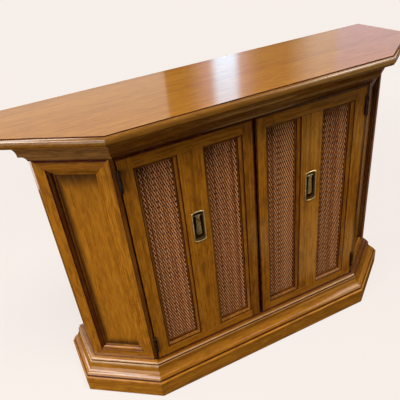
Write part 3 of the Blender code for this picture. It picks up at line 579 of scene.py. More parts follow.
# A darker copy of the frame's wood: painted shade on the jambs in their recess.
JAMB_SHADE = WoodFinish("stained_jamb", "frame_wood", (0.081, 0.0234, 0.0040), (0.124, 0.0375, 0.0047),
                        (0.177, 0.0586, 0.0066))
INNER_SEALER = WoodFinish("sealed_board", "inner_wood", (0.277, 0.1496, 0.0548), (0.383, 0.2200, 0.0856),
                          (0.479, 0.2992, 0.1296), roughness=0.5, shine=0.25, worn=0.12, relief=0.25)
CANE_SKIN = CaneFinish("cane_skin", "woven_cane", (0.20, 0.046, 0.013), (0.83, 0.38, 0.135),
                       (1.0, 0.62, 0.29), shine=0.1)
CANE_CORE = CaneFinish("cane_core", "woven_cane", (0.030, 0.0038, 0.0018), (0.090, 0.0140, 0.0060),
                       (0.150, 0.032, 0.013), roughness=0.62, shine=0.05)
AGED_BRASS = MetalFinish("aged_brass", "antique_brass", (0.42, 0.285, 0.085), (0.085, 0.036, 0.009),
                         (0.98, 0.84, 0.45), roughness=0.26, metallic=0.75)
DULL_BRASS = MetalFinish("dull_brass", "antique_brass", (0.30, 0.225, 0.085), (0.070, 0.034, 0.010),
                         (0.66, 0.55, 0.26), metallic=0.75)
DARK_BRONZE = MetalFinish("dark_bronze_metal", "dark_bronze", (0.026, 0.018, 0.016), (0.010, 0.007, 0.006),
                          (0.12, 0.09, 0.08), roughness=0.4, rubbed=0.5)
ZINC = MetalFinish("zinc_plate", "plated_steel", (0.56, 0.56, 0.55), (0.30, 0.30, 0.30), (0.78, 0.78, 0.76))
CATCH_RESIN = PlasticFinish("catch_resin", "catch_plastic", (0.12, 0.07, 0.04), (0.22, 0.15, 0.10))


def linked(name: str, data: bpy.types.ID) -> bpy.types.Object:
    """Link a mesh, a light or a camera to the scene.

    Args:
        name: The object's name.
        data: What it shows.

    Returns:
        The new object.
    """
    made = bpy.data.objects.new(name, data)
    bpy.context.scene.collection.objects.link(made)
    return made


class Workshop:
    """Makes pieces: keeps one material for each finish, links objects, rides them and reports them."""

    def __init__(self) -> None:
        """Open the workshop with no materials and its own seeded chance."""
        self.materials: dict[str, bpy.types.Material] = {}
        self.chance = random.Random(SEED)

    def finish(self, finish: Finish) -> bpy.types.Material:
        """The material of a finish, drafted once.

        Args:
            finish: The finish.

        Returns:
            Its material.
        """
        if finish.name not in self.materials:
            self.materials[finish.name] = finish.material()
        return self.materials[finish.name]

    def piece(self, name: str, mesh: Mesh, finish: Finish, body: str,
              stands_for: Iterable[str] = ()) -> bpy.types.Object:
        """Link a mesh as a piece that rides on a body.

        Args:
            name: The piece's name.
            mesh: Its mesh, in the frame's coordinates.
            finish: What it is finished in.
            body: The body that it moves with.
            stands_for: The nodes that it replaces.

        Returns:
            The new object.
        """
        mesh.materials.clear()
        mesh.materials.append(self.finish(finish))
        made = linked(name, mesh)
        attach(made, body)
        nodes = list(stands_for)
        if nodes:
            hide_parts(*nodes)
        LOG.info("%s: %d faces on %s", name, len(mesh.polygons), body)
        return made


SHOP = Workshop()


# Mesh drafting

def smooth(mesh: Mesh, angle: float = 50.0) -> None:
    """Shade a mesh smooth up to an angle in degrees."""
    mesh.shade_smooth()
    mesh.set_sharp_from_angle(angle=math.radians(angle))


def mark(mesh: Mesh, name: str, values: Sequence[float]) -> None:
    """Store one number for each point of a mesh."""
    layer = mesh.attributes.new(name, "FLOAT", "POINT")
    layer.data.foreach_set("value", np.asarray(values, np.float32))


def mark_grain(mesh: Mesh, domain: str, rows: np.ndarray) -> None:
    """Store where each point or corner of a mesh lies in its grain."""
    layer = mesh.attributes.new(GRAIN, "FLOAT_VECTOR", domain)
    layer.data.foreach_set("vector", rows.astype(np.float32).ravel())


def read(items: bpy.types.bpy_prop_collection, key: str, width: int = 1) -> np.ndarray:
    """Read one property of a mesh's points, corners or faces.

    Args:
        items: The points, corners or faces.
        key: The property's name.
        width: How many numbers each of them has.

    Returns:
        Rows of numbers, or a flat array of whole ones where the width is 1.
    """
    flat = np.empty(len(items) * width, np.int32 if width == 1 else np.float32)
    items.foreach_get(key, flat)
    return flat if width == 1 else flat.reshape(-1, width).astype(float)


def closed_mesh(name: str, points: Sequence[Point], faces: Sequence[Sequence[int]]) -> Mesh:
    """Make a mesh with its faces pointing out.

    Args:
        name: Its name.
        points: Its points.
        faces: The indices of each face's points.

    Returns:
        The mesh.
    """
    made = bpy.data.meshes.new(name)
    made.from_pydata(points, [], faces)
    bm = bmesh.new()
    bm.from_mesh(made)
    bmesh.ops.recalc_face_normals(bm, faces=bm.faces)
    bm.to_mesh(made)
    bm.free()
    return made


def arc(centre: Pair, radius: float, start: float, end: float, steps: int) -> list[Pair]:
    """Points on a circle between two angles in degrees, with a number of spans between them."""
    turns = [math.radians(start + (end - start) * i / steps) for i in range(steps + 1)]
    return [(centre[0] + radius * math.cos(t), centre[1] + radius * math.sin(t)) for t in turns]


def turned(place: Sequence[float], *turns: tuple[float, str]) -> Matrix:
    """The matrix of a place and of turns there.

    Args:
        place: Where it is.
        *turns: Pairs of an angle in radians and an axis, outermost first.

    Returns:
        The matrix.
    """
    made = Matrix.Translation(place)
    for angle, axis in turns:
        made = made @ Matrix.Rotation(angle, 4, axis)
    return made


class MeshDraft:
    """A mesh under construction from rings, with an edge and a glaze value for each point."""

    screw_sunk: float = 0.0004
    screw_floor: float = 0.92
    corner_steps: int = 4

    def __init__(self) -> None:
        """Start with nothing."""
        self.points: list[Point] = []
        self.faces: list[tuple[int, ...]] = []
        self.edge: list[float] = []
        self.glaze: list[float] = []

    def ring(self, points: Iterable[Sequence[float]], edge: float = 0.0, glaze: float = 0.0) -> list[int]:
        """Add points.

        Args:
            points: Their places.
            edge: Their edge value.
            glaze: Their glaze value.

        Returns:
            Their indices.
        """
        start = len(self.points)
        self.points += [tuple(point) for point in points]
        count = len(self.points) - start
        self.edge += [edge] * count
        self.glaze += [glaze] * count
        return list(range(start, start + count))

    def tube(self, rings: Sequence[Sequence[int]]) -> None:
        """Join rings of one count in order with quads, and cap both ends.

        Args:
            rings: The indices of each ring's points.
        """
        for first, second in zip(rings, rings[1:]):
            for i in range(len(first)):
                j = (i + 1) % len(first)
                self.faces.append((first[i], first[j], second[j], second[i]))
        self.faces += [tuple(reversed(rings[0])), tuple(rings[-1])]

    def lathe(self, place: Matrix, sides: int, profile: Sequence[Pair], edges: Sequence[float],
              glaze: Sequence[float] = ()) -> None:
        """Turn a profile of radius and height about Z and put it in place.

        Args:
            place: Where it goes.
            sides: Facets round it.
            profile: Pairs from one end to the other.
            edges: An edge value for each pair.
            glaze: A glaze value for each pair.
        """
        turns = [math.tau * i / sides for i in range(sides)]
        rings = []
        for i, (radius, height) in enumerate(profile):
            ring = [place @ Vector((radius * math.cos(t), radius * math.sin(t), height)) for t in turns]
            rings.append(self.ring(ring, edges[i], glaze[i] if glaze else 0.0))
        self.tube(rings)

    def slab(self, low: Sequence[float], high: Sequence[float], ease: float, corner: float) -> None:
        """Add a plate with round corners and eased edges, thin along X.

        Args:
            low: Its low corner.
            high: Its high corner.
            ease: The width of its eased edges.
            corner: The radius of its corners.
        """
        (x0, y0, z0), (x1, y1, z1) = low, high
        rings = []
        for x, inset in ((x0, ease), (x0 + ease, 0.0), (x1 - ease, 0.0), (x1, ease)):
            outline = []
            for turn, (y, z) in enumerate(((y1, z1), (y0, z1), (y0, z0), (y1, z0))):
                centre = (y + (corner if y == y0 else -corner), z + (corner if z == z0 else -corner))
                outline += arc(centre, corner - inset, 90.0 * turn, 90.0 * turn + 90.0, self.corner_steps)
            rings.append(self.ring([(x, y, z) for y, z in outline], 1.0 if inset else 0.3))
        self.tube(rings)

    def screw(self, place: Matrix, radius: float, rise: float, slot: float = 0.0006) -> None:
        """Add a slotted screw head that faces +Z of its place, sunk a little below the surface.

        Args:
            place: Where it goes.
            radius: The head's radius.
            rise: How far its crown stands proud.
            slot: The slot's width.
        """
        sunk, floor = self.screw_sunk, self.screw_floor * radius
        self.lathe(place, 16, ((floor, -2 * sunk), (floor, -0.2 * sunk)), (0.0, 0.0), (1.0, 1.0))
        cut = math.degrees(math.asin(slot / 2 / radius))
        for start, middle in ((cut, slot / 2), (180.0 + cut, -slot / 2)):
            rings = []
            for share, height, edge in ((1.0, -sunk, 0.0), (1.0, 0.3 * rise, 0.6), (0.82, 0.8 * rise, 1.0),
                                        (0.45, rise, 0.4)):
                outline = arc((0.0, 0.0), radius * share, start, start + 180.0 - 2 * cut, 10)
                ends = (0, len(outline) - 1)
                flat = [(x, middle if i in ends else y) for i, (x, y) in enumerate(outline)]
                rings.append(self.ring([place @ Vector((x, y, height)) for x, y in flat], edge))
            self.tube(rings)

    def build(self, name: str, finish: Finish, body: str, stands_for: Iterable[str] = (),
              angle: float = 40.0) -> None:
        """Make the piece.

        Args:
            name: Its name.
            finish: What it is finished in.
            body: The body that it moves with.
            stands_for: The nodes that it replaces.
            angle: Edges sharper than this stay sharp, in degrees.
        """
        mesh = closed_mesh(name, self.points, self.faces)
        mark(mesh, EDGE, self.edge)
        mark(mesh, SHADE_AND_PATINA, self.glaze)
        smooth(mesh, angle)
        SHOP.piece(name, mesh, finish, body, stands_for)


# Boards of the frame

@dataclass(frozen=True)
class Margins:
    """How far in from each edge of a board painted shade reaches, in metres: shadows under overhangs, dark
    gaps and darker panel borders.

    Low and high are the edges across the grain, foot and head those along it. Insets move the four edges
    in, for a board whose edges lie under a frame. A hard margin is dark for a share of its width before it
    fades.
    """

    low: float = 0.0
    high: float = 0.0
    foot: float = 0.0
    head: float = 0.0
    insets: tuple[float, float, float, float] = (0.0, 0.0, 0.0, 0.0)
    hard: float = 0.0
    untoned: float = 9.0

    def shares(self, laid: np.ndarray) -> np.ndarray:
        """Distance from each edge as a share of the margin there.

        Args:
            laid: Rows of distances along and across the grain.

        Returns:
            Rows of four shares, far beyond 1 where an edge isn't shaded.
        """
        columns = []
        edges = ((1, self.low, 1.0), (1, self.high, -1.0), (0, self.foot, 1.0), (0, self.head, -1.0))
        for (axis, margin, way), inset in zip(edges, self.insets):
            run = way * laid[:, axis]
            away = run - run.min() - inset
            if margin:
                columns.append((away / margin - self.hard) / (1.0 - self.hard))
            else:
                columns.append(np.full(len(laid), self.untoned))
        return np.column_stack(columns)


@dataclass(frozen=True)
class HeightRule:
    """A value for each point by its height above its board's foot, or by its drop below the head."""

    runs: tuple[float, ...]
    values: tuple[float, ...]
    from_head: bool = False

    def __call__(self, points: np.ndarray) -> np.ndarray:
        """The value of each point."""
        run = points[:, 2].max() - points[:, 2] if self.from_head else points[:, 2] - points[:, 2].min()
        return np.interp(run, self.runs, self.values)


@dataclass
class Board:
    """One wooden node with eased edges that show wear, its own stretch of grain and painted shade.

    Where a bend says so, faces have the grain of the depth. Rims finish the faces below a height. Rules
    give it painted shade, and on the base cap painted highlight lines in place of the wear.
    """

    node: str
    grain: Grain
    finish: Finish = FRAME_LACQUER
    ease: float = 0.0008
    bend: Optional[Rule] = None
    glaze: Optional[Rule] = None
    rubbed: Optional[Rule] = None
    rims: tuple[tuple[float, WoodFinish], ...] = ()
    toned: Margins = Margins()
    merge: float = 1e-5
    flat_turn: float = 1.0
    sharp_turn: float = 32.0
    stray: float = 3.0

    def build(self) -> None:
        """Make the board's piece, which stands for its node."""
        mesh = self.eased()
        self.lay_grain(mesh)
        points = read(mesh.vertices, "co", 3)
        mark(mesh, SHADE_AND_PATINA, self.glaze(points) if self.glaze else np.zeros(len(points)))
        # On the base cap, a rule puts painted highlight lines in place of the edge wear.
        if self.rubbed:
            mesh.attributes.remove(mesh.attributes[EDGE])
            mark(mesh, EDGE, self.rubbed(points))
        body = frame["nodes"][self.node]["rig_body"]
        made = SHOP.piece(f"{self.node}_board", mesh, self.finish, body, [self.node])
        for index, (below, finish) in enumerate(self.rims):
            mesh.materials.append(SHOP.finish(finish))
            for face in mesh.polygons:
                if face.center.z < below:
                    face.material_index = index + 1
        made.modifiers.new("flat_faces", "WEIGHTED_NORMAL").keep_sharp = True

    def eased(self) -> Mesh:
        """The node's shape with flat faces whole and its sharp edges rounded.

        Returns:
            A new mesh.
        """
        bm = bmesh.new()
        bm.from_mesh(frame["nodes"][self.node].data)
        bmesh.ops.remove_doubles(bm, verts=bm.verts, dist=self.merge)
        flat = math.radians(self.flat_turn)
        bmesh.ops.dissolve_limit(bm, angle_limit=flat, verts=bm.verts, edges=bm.edges)
        turn = math.radians(self.sharp_turn)
        sharp = [edge for edge in bm.edges if edge.is_manifold and edge.calc_face_angle() > turn]
        eased = bmesh.ops.bevel(bm, geom=sharp, offset=self.ease, offset_type="OFFSET", segments=2,
                                profile=0.5, affect="EDGES", clamp_overlap=True)
        rounds = set(eased["faces"])
        bmesh.ops.recalc_face_normals(bm, faces=bm.faces)
        bm.verts.index_update()
        edge = [1.0 if rounds.issuperset(vert.link_faces) else 0.0 for vert in bm.verts]
        mesh = bpy.data.meshes.new(f"{self.node}_board")
        bm.to_mesh(mesh)
        bm.free()
        mark(mesh, EDGE, edge)
        smooth(mesh)
        return mesh

    def lay_grain(self, mesh: Mesh) -> None:
        """Store where each corner lies along and across the grain, shifted so that no two boards match.

        Args:
            mesh: The board's mesh.
        """
        corners = read(mesh.vertices, "co", 3)[read(mesh.loops, "vertex_index")]
        shift = np.array([SHOP.chance.uniform(-self.stray, self.stray) for _ in range(3)])
        laid = corners @ self.grain.axes().T + shift
        toned = mesh.attributes.new(MARGIN_SHADE, "FLOAT_COLOR", "CORNER")
        toned.data.foreach_set("color", self.toned.shares(laid).astype(np.float32).ravel())
        if self.bend:
            bent = np.repeat(self.bend(read(mesh.polygons, "center", 3)), read(mesh.polygons, "loop_total"))
            laid[bent] = corners[bent] @ Grain.DEPTH.axes().T - shift
        mark_grain(mesh, "CORNER", laid)


# Painted shade and painted highlight of the case

# Painted shade by height: heavier towards the front cornice's foot, a line along each canted cornice's foot,
# a line in the quirk under the base's torus, and on the bead and ledge at the base's right end.
CORNICE_SHADE = HeightRule((0.0, 0.006, 0.017, 0.022), (1.0, 0.55, 0.22, 0.0))
CORNICE_LINE = HeightRule((0.0, 0.0015, 0.004), (1.0, 0.8, 0.0))
TORUS_LINE = HeightRule((0.0, 0.0042, 0.0060), (1.0, 0.85, 0.0))
BEAD_SHADE = HeightRule((0.0, 0.0075, 0.0095), (0.7, 0.7, 0.0), from_head=True)
# Painted highlight lines along the front base cap's bead and the left base cap's step.
BEAD_HIGHLIGHT = HeightRule((0.0005, 0.0020, 0.0065, 0.0085), (0.0, 1.0, 1.0, 0.0), from_head=True)
STEP_HIGHLIGHT = HeightRule((0.0005, 0.0020, 0.0105, 0.0145), (0.0, 1.0, 1.0, 0.0), from_head=True)
NO_RULES = (None, None, None)
# How far back the painted shadow on the front base cap's ledge reaches, and how dark it gets.
LEDGE_SKIN = 0.0006
LEDGE_DEPTHS, LEDGE_SHADOW = (0.0290, 0.0378), (0.35, 1.0)
FRONT_EDGE = 0.002
FRAME_DEPTHS = (0.0006, 0.0012, 0.0026, 0.0034, 0.0062, 0.0080, 0.0090, 0.0096, 0.0104)
FRAME_INSET = 0.02


def front_edge(points: np.ndarray) -> np.ndarray:
    """Painted shade on a board's front edge, which shows as the dark line in the gaps round the doors."""
    return np.where(points[:, 1] < points[:, 1].min() + FRONT_EDGE, 1.0, 0.0)


def ledge_grime(points: np.ndarray) -> np.ndarray:
    """Painted shade in the quirk under the front base cap's torus, and painted shadow on its ledge under the
    doors.
    """
    painted_shadow = np.interp(points[:, 1] - points[:, 1].min(), LEDGE_DEPTHS, LEDGE_SHADOW)
    return np.where(points[:, 2] > points[:, 2].max() - LEDGE_SKIN, painted_shadow, TORUS_LINE(points))


def end_grime(points: np.ndarray) -> np.ndarray:
    """Painted shade under the torus and on the ledge and bead, for the base's right end."""
    return np.maximum(BEAD_SHADE(points), TORUS_LINE(points))


@dataclass(frozen=True)
class FrameGlaze:
    """Painted shade for one member of a canted end's frame, by depth behind its face, partly standing for
    glazing.

    The amounts are those of its quirk, its ovolo, the ovolo's foot, the fillet and the inner edge.
    """

    side: Side
    member: str
    amounts: tuple[float, float, float, float, float]

    def __call__(self, points: np.ndarray) -> np.ndarray:
        """The painted shade of each point, which is none near the member's outer edge.

        Args:
            points: Rows of places.

        Returns:
            A value for each row.
        """
        along, _, into = Grain[f"{self.side.name}_CANT"].axes()
        quirk, ovolo, foot, fillet, inner = self.amounts
        depth = points @ into
        run = points[:, 2] if self.member.endswith("rail") else points @ along * self.side.value
        outer = run.max() if self.member in ("rear_stile", "top_rail") else run.min()
        amount = np.interp(depth - depth.min(), FRAME_DEPTHS,
                           (0.0, quirk, quirk, ovolo, ovolo, foot, fillet, fillet, inner))
        return np.where(np.abs(run - outer) > FRAME_INSET, amount, 0.0)


@dataclass
class Case:
    """The fixed case: top, mouldings, plinth, boards, jambs and canted ends."""

    half_width: float = field(init=False)
    cant_rear: float = field(init=False)
    half_turn: float = math.radians(27.0)
    top_ease: float = 0.0004
    step_drop: float = 0.00005
    nose_drop: float = 0.0021
    frame_ease: float = 0.0006
    frame_width: float = 0.039
    shadow_line: float = 0.0085
    shadow_hard: float = 0.6
    # Painted shade on a canted panel's rear edge, foot and head, where frame and cornice shade it.
    panel_side: float = 0.018
    panel_foot: float = 0.03
    panel_head: float = 0.045

    def __post_init__(self) -> None:
        """Read the plan's corners from the frame."""
        low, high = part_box("end_board_right")
        self.half_width = high.x
        self.cant_rear = low.y

    def behind_mitre(self, points: np.ndarray) -> np.ndarray:
        """Which points lie behind the mitre between a canted end and the straight end."""
        out = np.abs(points[:, 0]) - self.half_width
        return points[:, 1] > self.cant_rear - out * math.tan(self.half_turn)

    def build(self) -> None:
        """Make every board of the case."""
        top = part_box("top_panel")[1].z
        Board("top_panel", Grain.LENGTH, TOP_LACQUER, ease=self.top_ease,
              rims=((top - self.step_drop, STEP_SHADOW), (top - self.nose_drop, NOSE_LACQUER))).build()
        # Each moulding has a finish for its front and one for its ends, then rules of painted shade and of
        # painted highlight for its front, left and right.
        for name, front, end, shade_rules, highlight_rules in (
                ("cornice", SHADED_LACQUER, CORNICE_LACQUER, (CORNICE_SHADE, CORNICE_LINE, CORNICE_LINE),
                 NO_RULES),
                ("base_cap", BASE_LACQUER, BASE_LACQUER, (ledge_grime, TORUS_LINE, end_grime),
                 (BEAD_HIGHLIGHT, STEP_HIGHLIGHT, None)),
                ("plinth", PLINTH_LACQUER, PLINTH_LACQUER, NO_RULES, NO_RULES)):
            runs = (("front", Grain.LENGTH, front, None), ("left", Grain.LEFT_CANT, end, self.behind_mitre),
                    ("right", Grain.RIGHT_CANT, end, self.behind_mitre))
            for (place, grain, finish, bend), glaze, rubbed in zip(runs, shade_rules, highlight_rules):
                Board(f"{name}_{place}", grain, finish, bend=bend, glaze=glaze, rubbed=rubbed).build()
        for name in ("plinth_back", "shelf", "back_panel"):
            Board(name, Grain.LENGTH, INNER_SEALER).build()
        Board("floor_board", Grain.LENGTH, INNER_SEALER, glaze=front_edge).build()
        Board("head_rail", Grain.LENGTH, glaze=front_edge).build()
        for side in Side:
            Board(f"end_board_{side.word}", Grain.END_HEIGHT).build()
            Board(f"jamb_{side.word}", Grain.HEIGHT, JAMB_SHADE).build()
            self.build_canted_end(side)

    def build_canted_end(self, side: Side) -> None:
        """Make one canted end: its panel and the four mitred members of its frame.

        Args:
            side: Which end.
        """
        level, upright = Grain[f"{side.name}_CANT"], Grain[f"{side.name}_CANT_HEIGHT"]
        prefix = f"cant_{side.word}"
        low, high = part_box(f"{prefix}_panel")
        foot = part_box(f"{prefix}_bottom_rail")[1].z - low.z
        head = high.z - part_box(f"{prefix}_top_rail")[0].z
        # Only the panel's rear edge, turned from the lamps, gets painted shade.
        rear_edge = {"low" if side is Side.LEFT else "high": self.panel_side}
        toned = Margins(foot=self.panel_foot, head=self.panel_head,
                        insets=(self.frame_width, self.frame_width, foot, head), **rear_edge)
        Board(f"{prefix}_panel", upright, PANEL_LACQUER, toned=toned).build()
        shadow = Margins(high=self.shadow_line, hard=self.shadow_hard)
        # The rear stile, turned from the lamps, gets the most painted shade in its moulding and the front
        # stile none; the top rail also takes the painted shadow of the cornice.
        for member, grain, finish, toned, amounts in (
                ("front_stile", upright, LIT_LACQUER, Margins(), (0.0, 0.0, 0.0, 0.0, 0.0)),
                ("rear_stile", upright, FRAME_LACQUER, Margins(), (1.0, 0.86, 1.0, 0.74, 1.0)),
                ("top_rail", level, SHADED_LACQUER, shadow, (0.3, 0.1, 0.1, 0.0, 0.2)),
                ("bottom_rail", level, FRAME_LACQUER, Margins(), (1.0, 0.0, 0.0, 0.0, 0.6))):
            Board(f"{prefix}_{member}", grain, finish, ease=self.frame_ease,
                  glaze=FrameGlaze(side, member, amounts), toned=toned).build()


# Doors

@dataclass
class CaneWeave:
    """Woven cane in one opening: slim upright strands over and under broad level ones.

    Each upright strand leans where it shows, so the dashes line up in steep diagonals. The section's
    points have a place across the strand, a rise and a share of painted shade.
    """

    body: str
    label: str
    pitch: float = 0.00281
    row: float = 0.00731
    skin_width: float = 0.0022
    core_width: float = 0.0069
    width_range: Pair = (0.94, 0.1)
    lift: float = 0.00036
    level_lift: float = 0.6
    lean: float = 0.0011
    lean_hold: float = 0.25
    thickness: float = 0.00042
    margin: float = 0.0004
    bead_width: float = 0.011
    dive_shade: float = 0.55
    grain_step: float = 7.0
    smooth_turn: float = 70.0
    section: tuple[Point, ...] = ((-0.5, 0.0, 1.0), (-0.28, 0.8, 0.25), (0.28, 0.8, 0.25), (0.5, 0.0, 1.0),
                                  (0.0, -0.5, 1.0))

    def build(self) -> None:
        """Make the upright and the level strands as two pieces on the door."""
        low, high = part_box(f"{self.body}_bead_{self.label}")
        inset = self.bead_width + self.margin
        x0, x1 = low.x + inset, high.x - inset
        z0, z1 = low.z + inset, high.z - inset
        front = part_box(f"{self.body}_cane_board")[0].y - self.lift - self.thickness
        xs, zs = self.places(x0, x1, self.pitch), self.places(z0, z1, self.row)
        uprights = [self.upright(x, i, zs, (z0, z1), front) for i, x in enumerate(xs)]
        self.make("uprights", uprights, self.skin_width, CANE_SKIN, (0, 2))
        levels = [self.level(z, j, xs, (x0, x1), front) for j, z in enumerate(zs)]
        self.make("levels", levels, self.core_width, CANE_CORE, (2, 0))

    def places(self, start: float, end: float, step: float) -> list[float]:
        """Places of strands a step apart, centred between two ends."""
        count = int((end - start) / step)
        return [(start + end) / 2 + (i - (count - 1) / 2) * step for i in range(count)]

    def upright(self, x: float, column: int, zs: Sequence[float], span: Pair, front: float) -> np.ndarray:
        """Middle line of one upright strand.

        Args:
            x: Its place.
            column: Its number.
            zs: The rows that it crosses.
            span: Its lower and upper end.
            front: The weave's middle plane.

        Returns:
            Rows of x, y, z and how deep it lies, from 0 over to 1 under.
        """
        z = np.linspace(span[0], span[1], 3 * len(zs) + 1)
        phase = (z - zs[0]) / self.row * math.pi + column * math.pi
        over = np.cos(phase)
        lean = -self.lean * np.sin(phase) * np.sign(over + 1e-9) * np.abs(over) ** self.lean_hold
        return np.column_stack((x + lean, front - self.lift * over, z, 0.5 - 0.5 * over))

    def level(self, z: float, row: int, xs: Sequence[float], span: Pair, front: float) -> np.ndarray:
        """Middle line of one level strand.

        Args:
            z: Its place.
            row: Its number.
            xs: The columns that it crosses.
            span: Its left and right end.
            front: The weave's middle plane.

        Returns:
            Rows as upright() gives them.
        """
        x = np.linspace(span[0], span[1], 2 * len(xs) + 1)
        over = -np.cos((x - xs[0]) / self.pitch * math.pi + row * math.pi)
        depth = front - self.level_lift * self.lift * over
        return np.column_stack((x, depth, np.full_like(x, z), 0.5 - 0.5 * over))

    def make(self, way: str, lines: Sequence[np.ndarray], width: float, finish: CaneFinish,
             axes: tuple[int, int]) -> None:
        """Sweep the strand's section along each line and join the strands in one piece.

        Args:
            way: How they run, for the piece's name.
            lines: The strands' middle lines.
            width: A strand's width.
            finish: What they are finished in.
            axes: The axis across a strand and the axis along it.
        """
        across, along = axes
        count = len(self.section)
        shade = np.array([dim for _, _, dim in self.section])
        points, faces, tint, glaze, grain = [], [], [], [], []
        start = 0
        for line in lines:
            own = SHOP.chance.random()
            wide = width * (self.width_range[0] + self.width_range[1] * own)
            rings = np.repeat(line[:, None, :3], count, axis=1)
            for k, (side, rise, _) in enumerate(self.section):
                rings[:, k, across] += side * wide
                rings[:, k, 1] -= rise * self.thickness
            points.append(rings.reshape(-1, 3))
            glaze.append((self.dive_shade * line[:, 3:4] + (1.0 - self.dive_shade) * shade[None, :]).ravel())
            tint.append(np.full(len(line) * count, own))
            grain.append(rings[..., [along, across, 1]].reshape(-1, 3) + own * self.grain_step)
            index = start + np.arange(len(line) * count).reshape(len(line), count)
            here, there = index[:-1], index[1:]
            quads = np.stack((here, np.roll(here, -1, 1), np.roll(there, -1, 1), there), axis=-1)
            faces += quads.reshape(-1, 4).tolist()
            faces += [index[0].tolist(), index[-1][::-1].tolist()]
            start += len(line) * count
        name = f"{self.body}_cane_{self.label}_{way}"
        mesh = closed_mesh(name, np.concatenate(points).tolist(), faces)
        mark(mesh, TINT, np.concatenate(tint))
        mark(mesh, SHADE_AND_PATINA, np.clip(np.concatenate(glaze), 0.0, 1.0))
        mark_grain(mesh, "POINT", np.concatenate(grain))
        smooth(mesh, self.smooth_turn)
        SHOP.piece(name, mesh, finish, self.body)


@dataclass
class Door:
    """One door: stiles, rails, beads, the board behind the cane, and the cane.

    The bead's insets are those of its outer edge, its quirk and its inner edge, where it gets painted shade.
    """

    side: Side
    ease: float = 0.0003
    board_ease: float = 0.0004
    # Painted shadow under the cornice and in the gap between the doors, and the share of it that is fully
    # dark.
    head_line: float = 0.0075
    gap_line: float = 0.005
    hard: float = 0.55
    bead_outer: Pair = (0.0018, 0.0034)
    bead_quirk: Pair = (0.0068, 0.0079)
    bead_inner: float = 0.0100
    quirk_depth: float = 0.0076
    inner_depth: float = 0.0108

    def build(self) -> None:
        """Make the door's boards and its two cane fields."""
        prefix = f"door_{self.side.word}"
        left = self.side is Side.LEFT
        gap = {"high" if left else "low": self.gap_line}
        meeting = SHADED_LACQUER if left else FRAME_LACQUER
        for member, grain, finish, toned in (
                ("hinge_stile", Grain.HEIGHT, FRAME_LACQUER, Margins(head=self.head_line, hard=self.hard)),
                ("meeting_stile", Grain.HEIGHT, meeting, Margins(head=self.head_line, hard=self.hard, **gap)),
                ("centre_stile", Grain.HEIGHT, FRAME_LACQUER, Margins()),
                ("top_rail", Grain.LENGTH, FRAME_LACQUER, Margins(high=self.head_line, hard=self.hard)),
                ("bottom_rail", Grain.LENGTH, FRAME_LACQUER, Margins())):
            Board(f"{prefix}_{member}", grain, finish, ease=self.ease, toned=toned).build()
        Board(f"{prefix}_cane_board", Grain.HEIGHT, INNER_SEALER, ease=self.board_ease).build()
        for label in ("inner", "outer"):
            Board(f"{prefix}_bead_{label}", Grain.HEIGHT, BEAD_STAIN, ease=self.ease,
                  glaze=self.bead_glaze).build()
            CaneWeave(prefix, label).build()

    def bead_glaze(self, points: np.ndarray) -> np.ndarray:
        """Painted shade on a bead: dark at its outer edge, in its quirk and beside the cane.

        Args:
            points: Rows of places.

        Returns:
            A value for each row.
        """
        low, high = points.min(axis=0), points.max(axis=0)
        depth = points[:, 1] - low[1]
        inset = np.minimum(points - low, high - points)[:, [0, 2]].min(axis=1)
        start, end = self.bead_quirk
        outer = np.interp(inset, self.bead_outer, (1.0, 0.0))
        quirk = np.where((inset > start) & (inset < end) & (depth > self.quirk_depth), 1.0, 0.0)
        inner = np.where((inset > self.bead_inner) & (depth > self.inner_depth), 1.0, 0.0)
        return np.maximum.reduce((outer, quirk, inner))


# Fittings

def arched_outline(half_width: float, half_length: float, arch: float, corner: float) -> list[Pair]:
    """A tall rounded outline whose two short sides are arched.

    Args:
        half_width: Half its width.
        half_length: Half its length at the crown of the arches.
        arch: The rise of each arch.
        corner: The radius of its corners.

    Returns:
        Points round it, as many for every size.
    """
    steps = 6
    inner = half_width - corner
    shoulder = half_length - arch * (inner / half_width) ** 2 - corner
    crown = [inner * i / steps for i in range(steps)]
    quarter = [(x, half_length - arch * (x / half_width) ** 2) for x in crown]
    quarter += arc((inner, shoulder), corner, 90.0, 0.0, 4)
    quarter += [(half_width, shoulder * (3 - i) / 4) for i in range(3)]
    lower = [(x, -z) for x, z in reversed(quarter)]
    right = quarter + [(half_width, 0.0)] + lower
    return right + [(-x, z) for x, z in reversed(right[1:-1])]


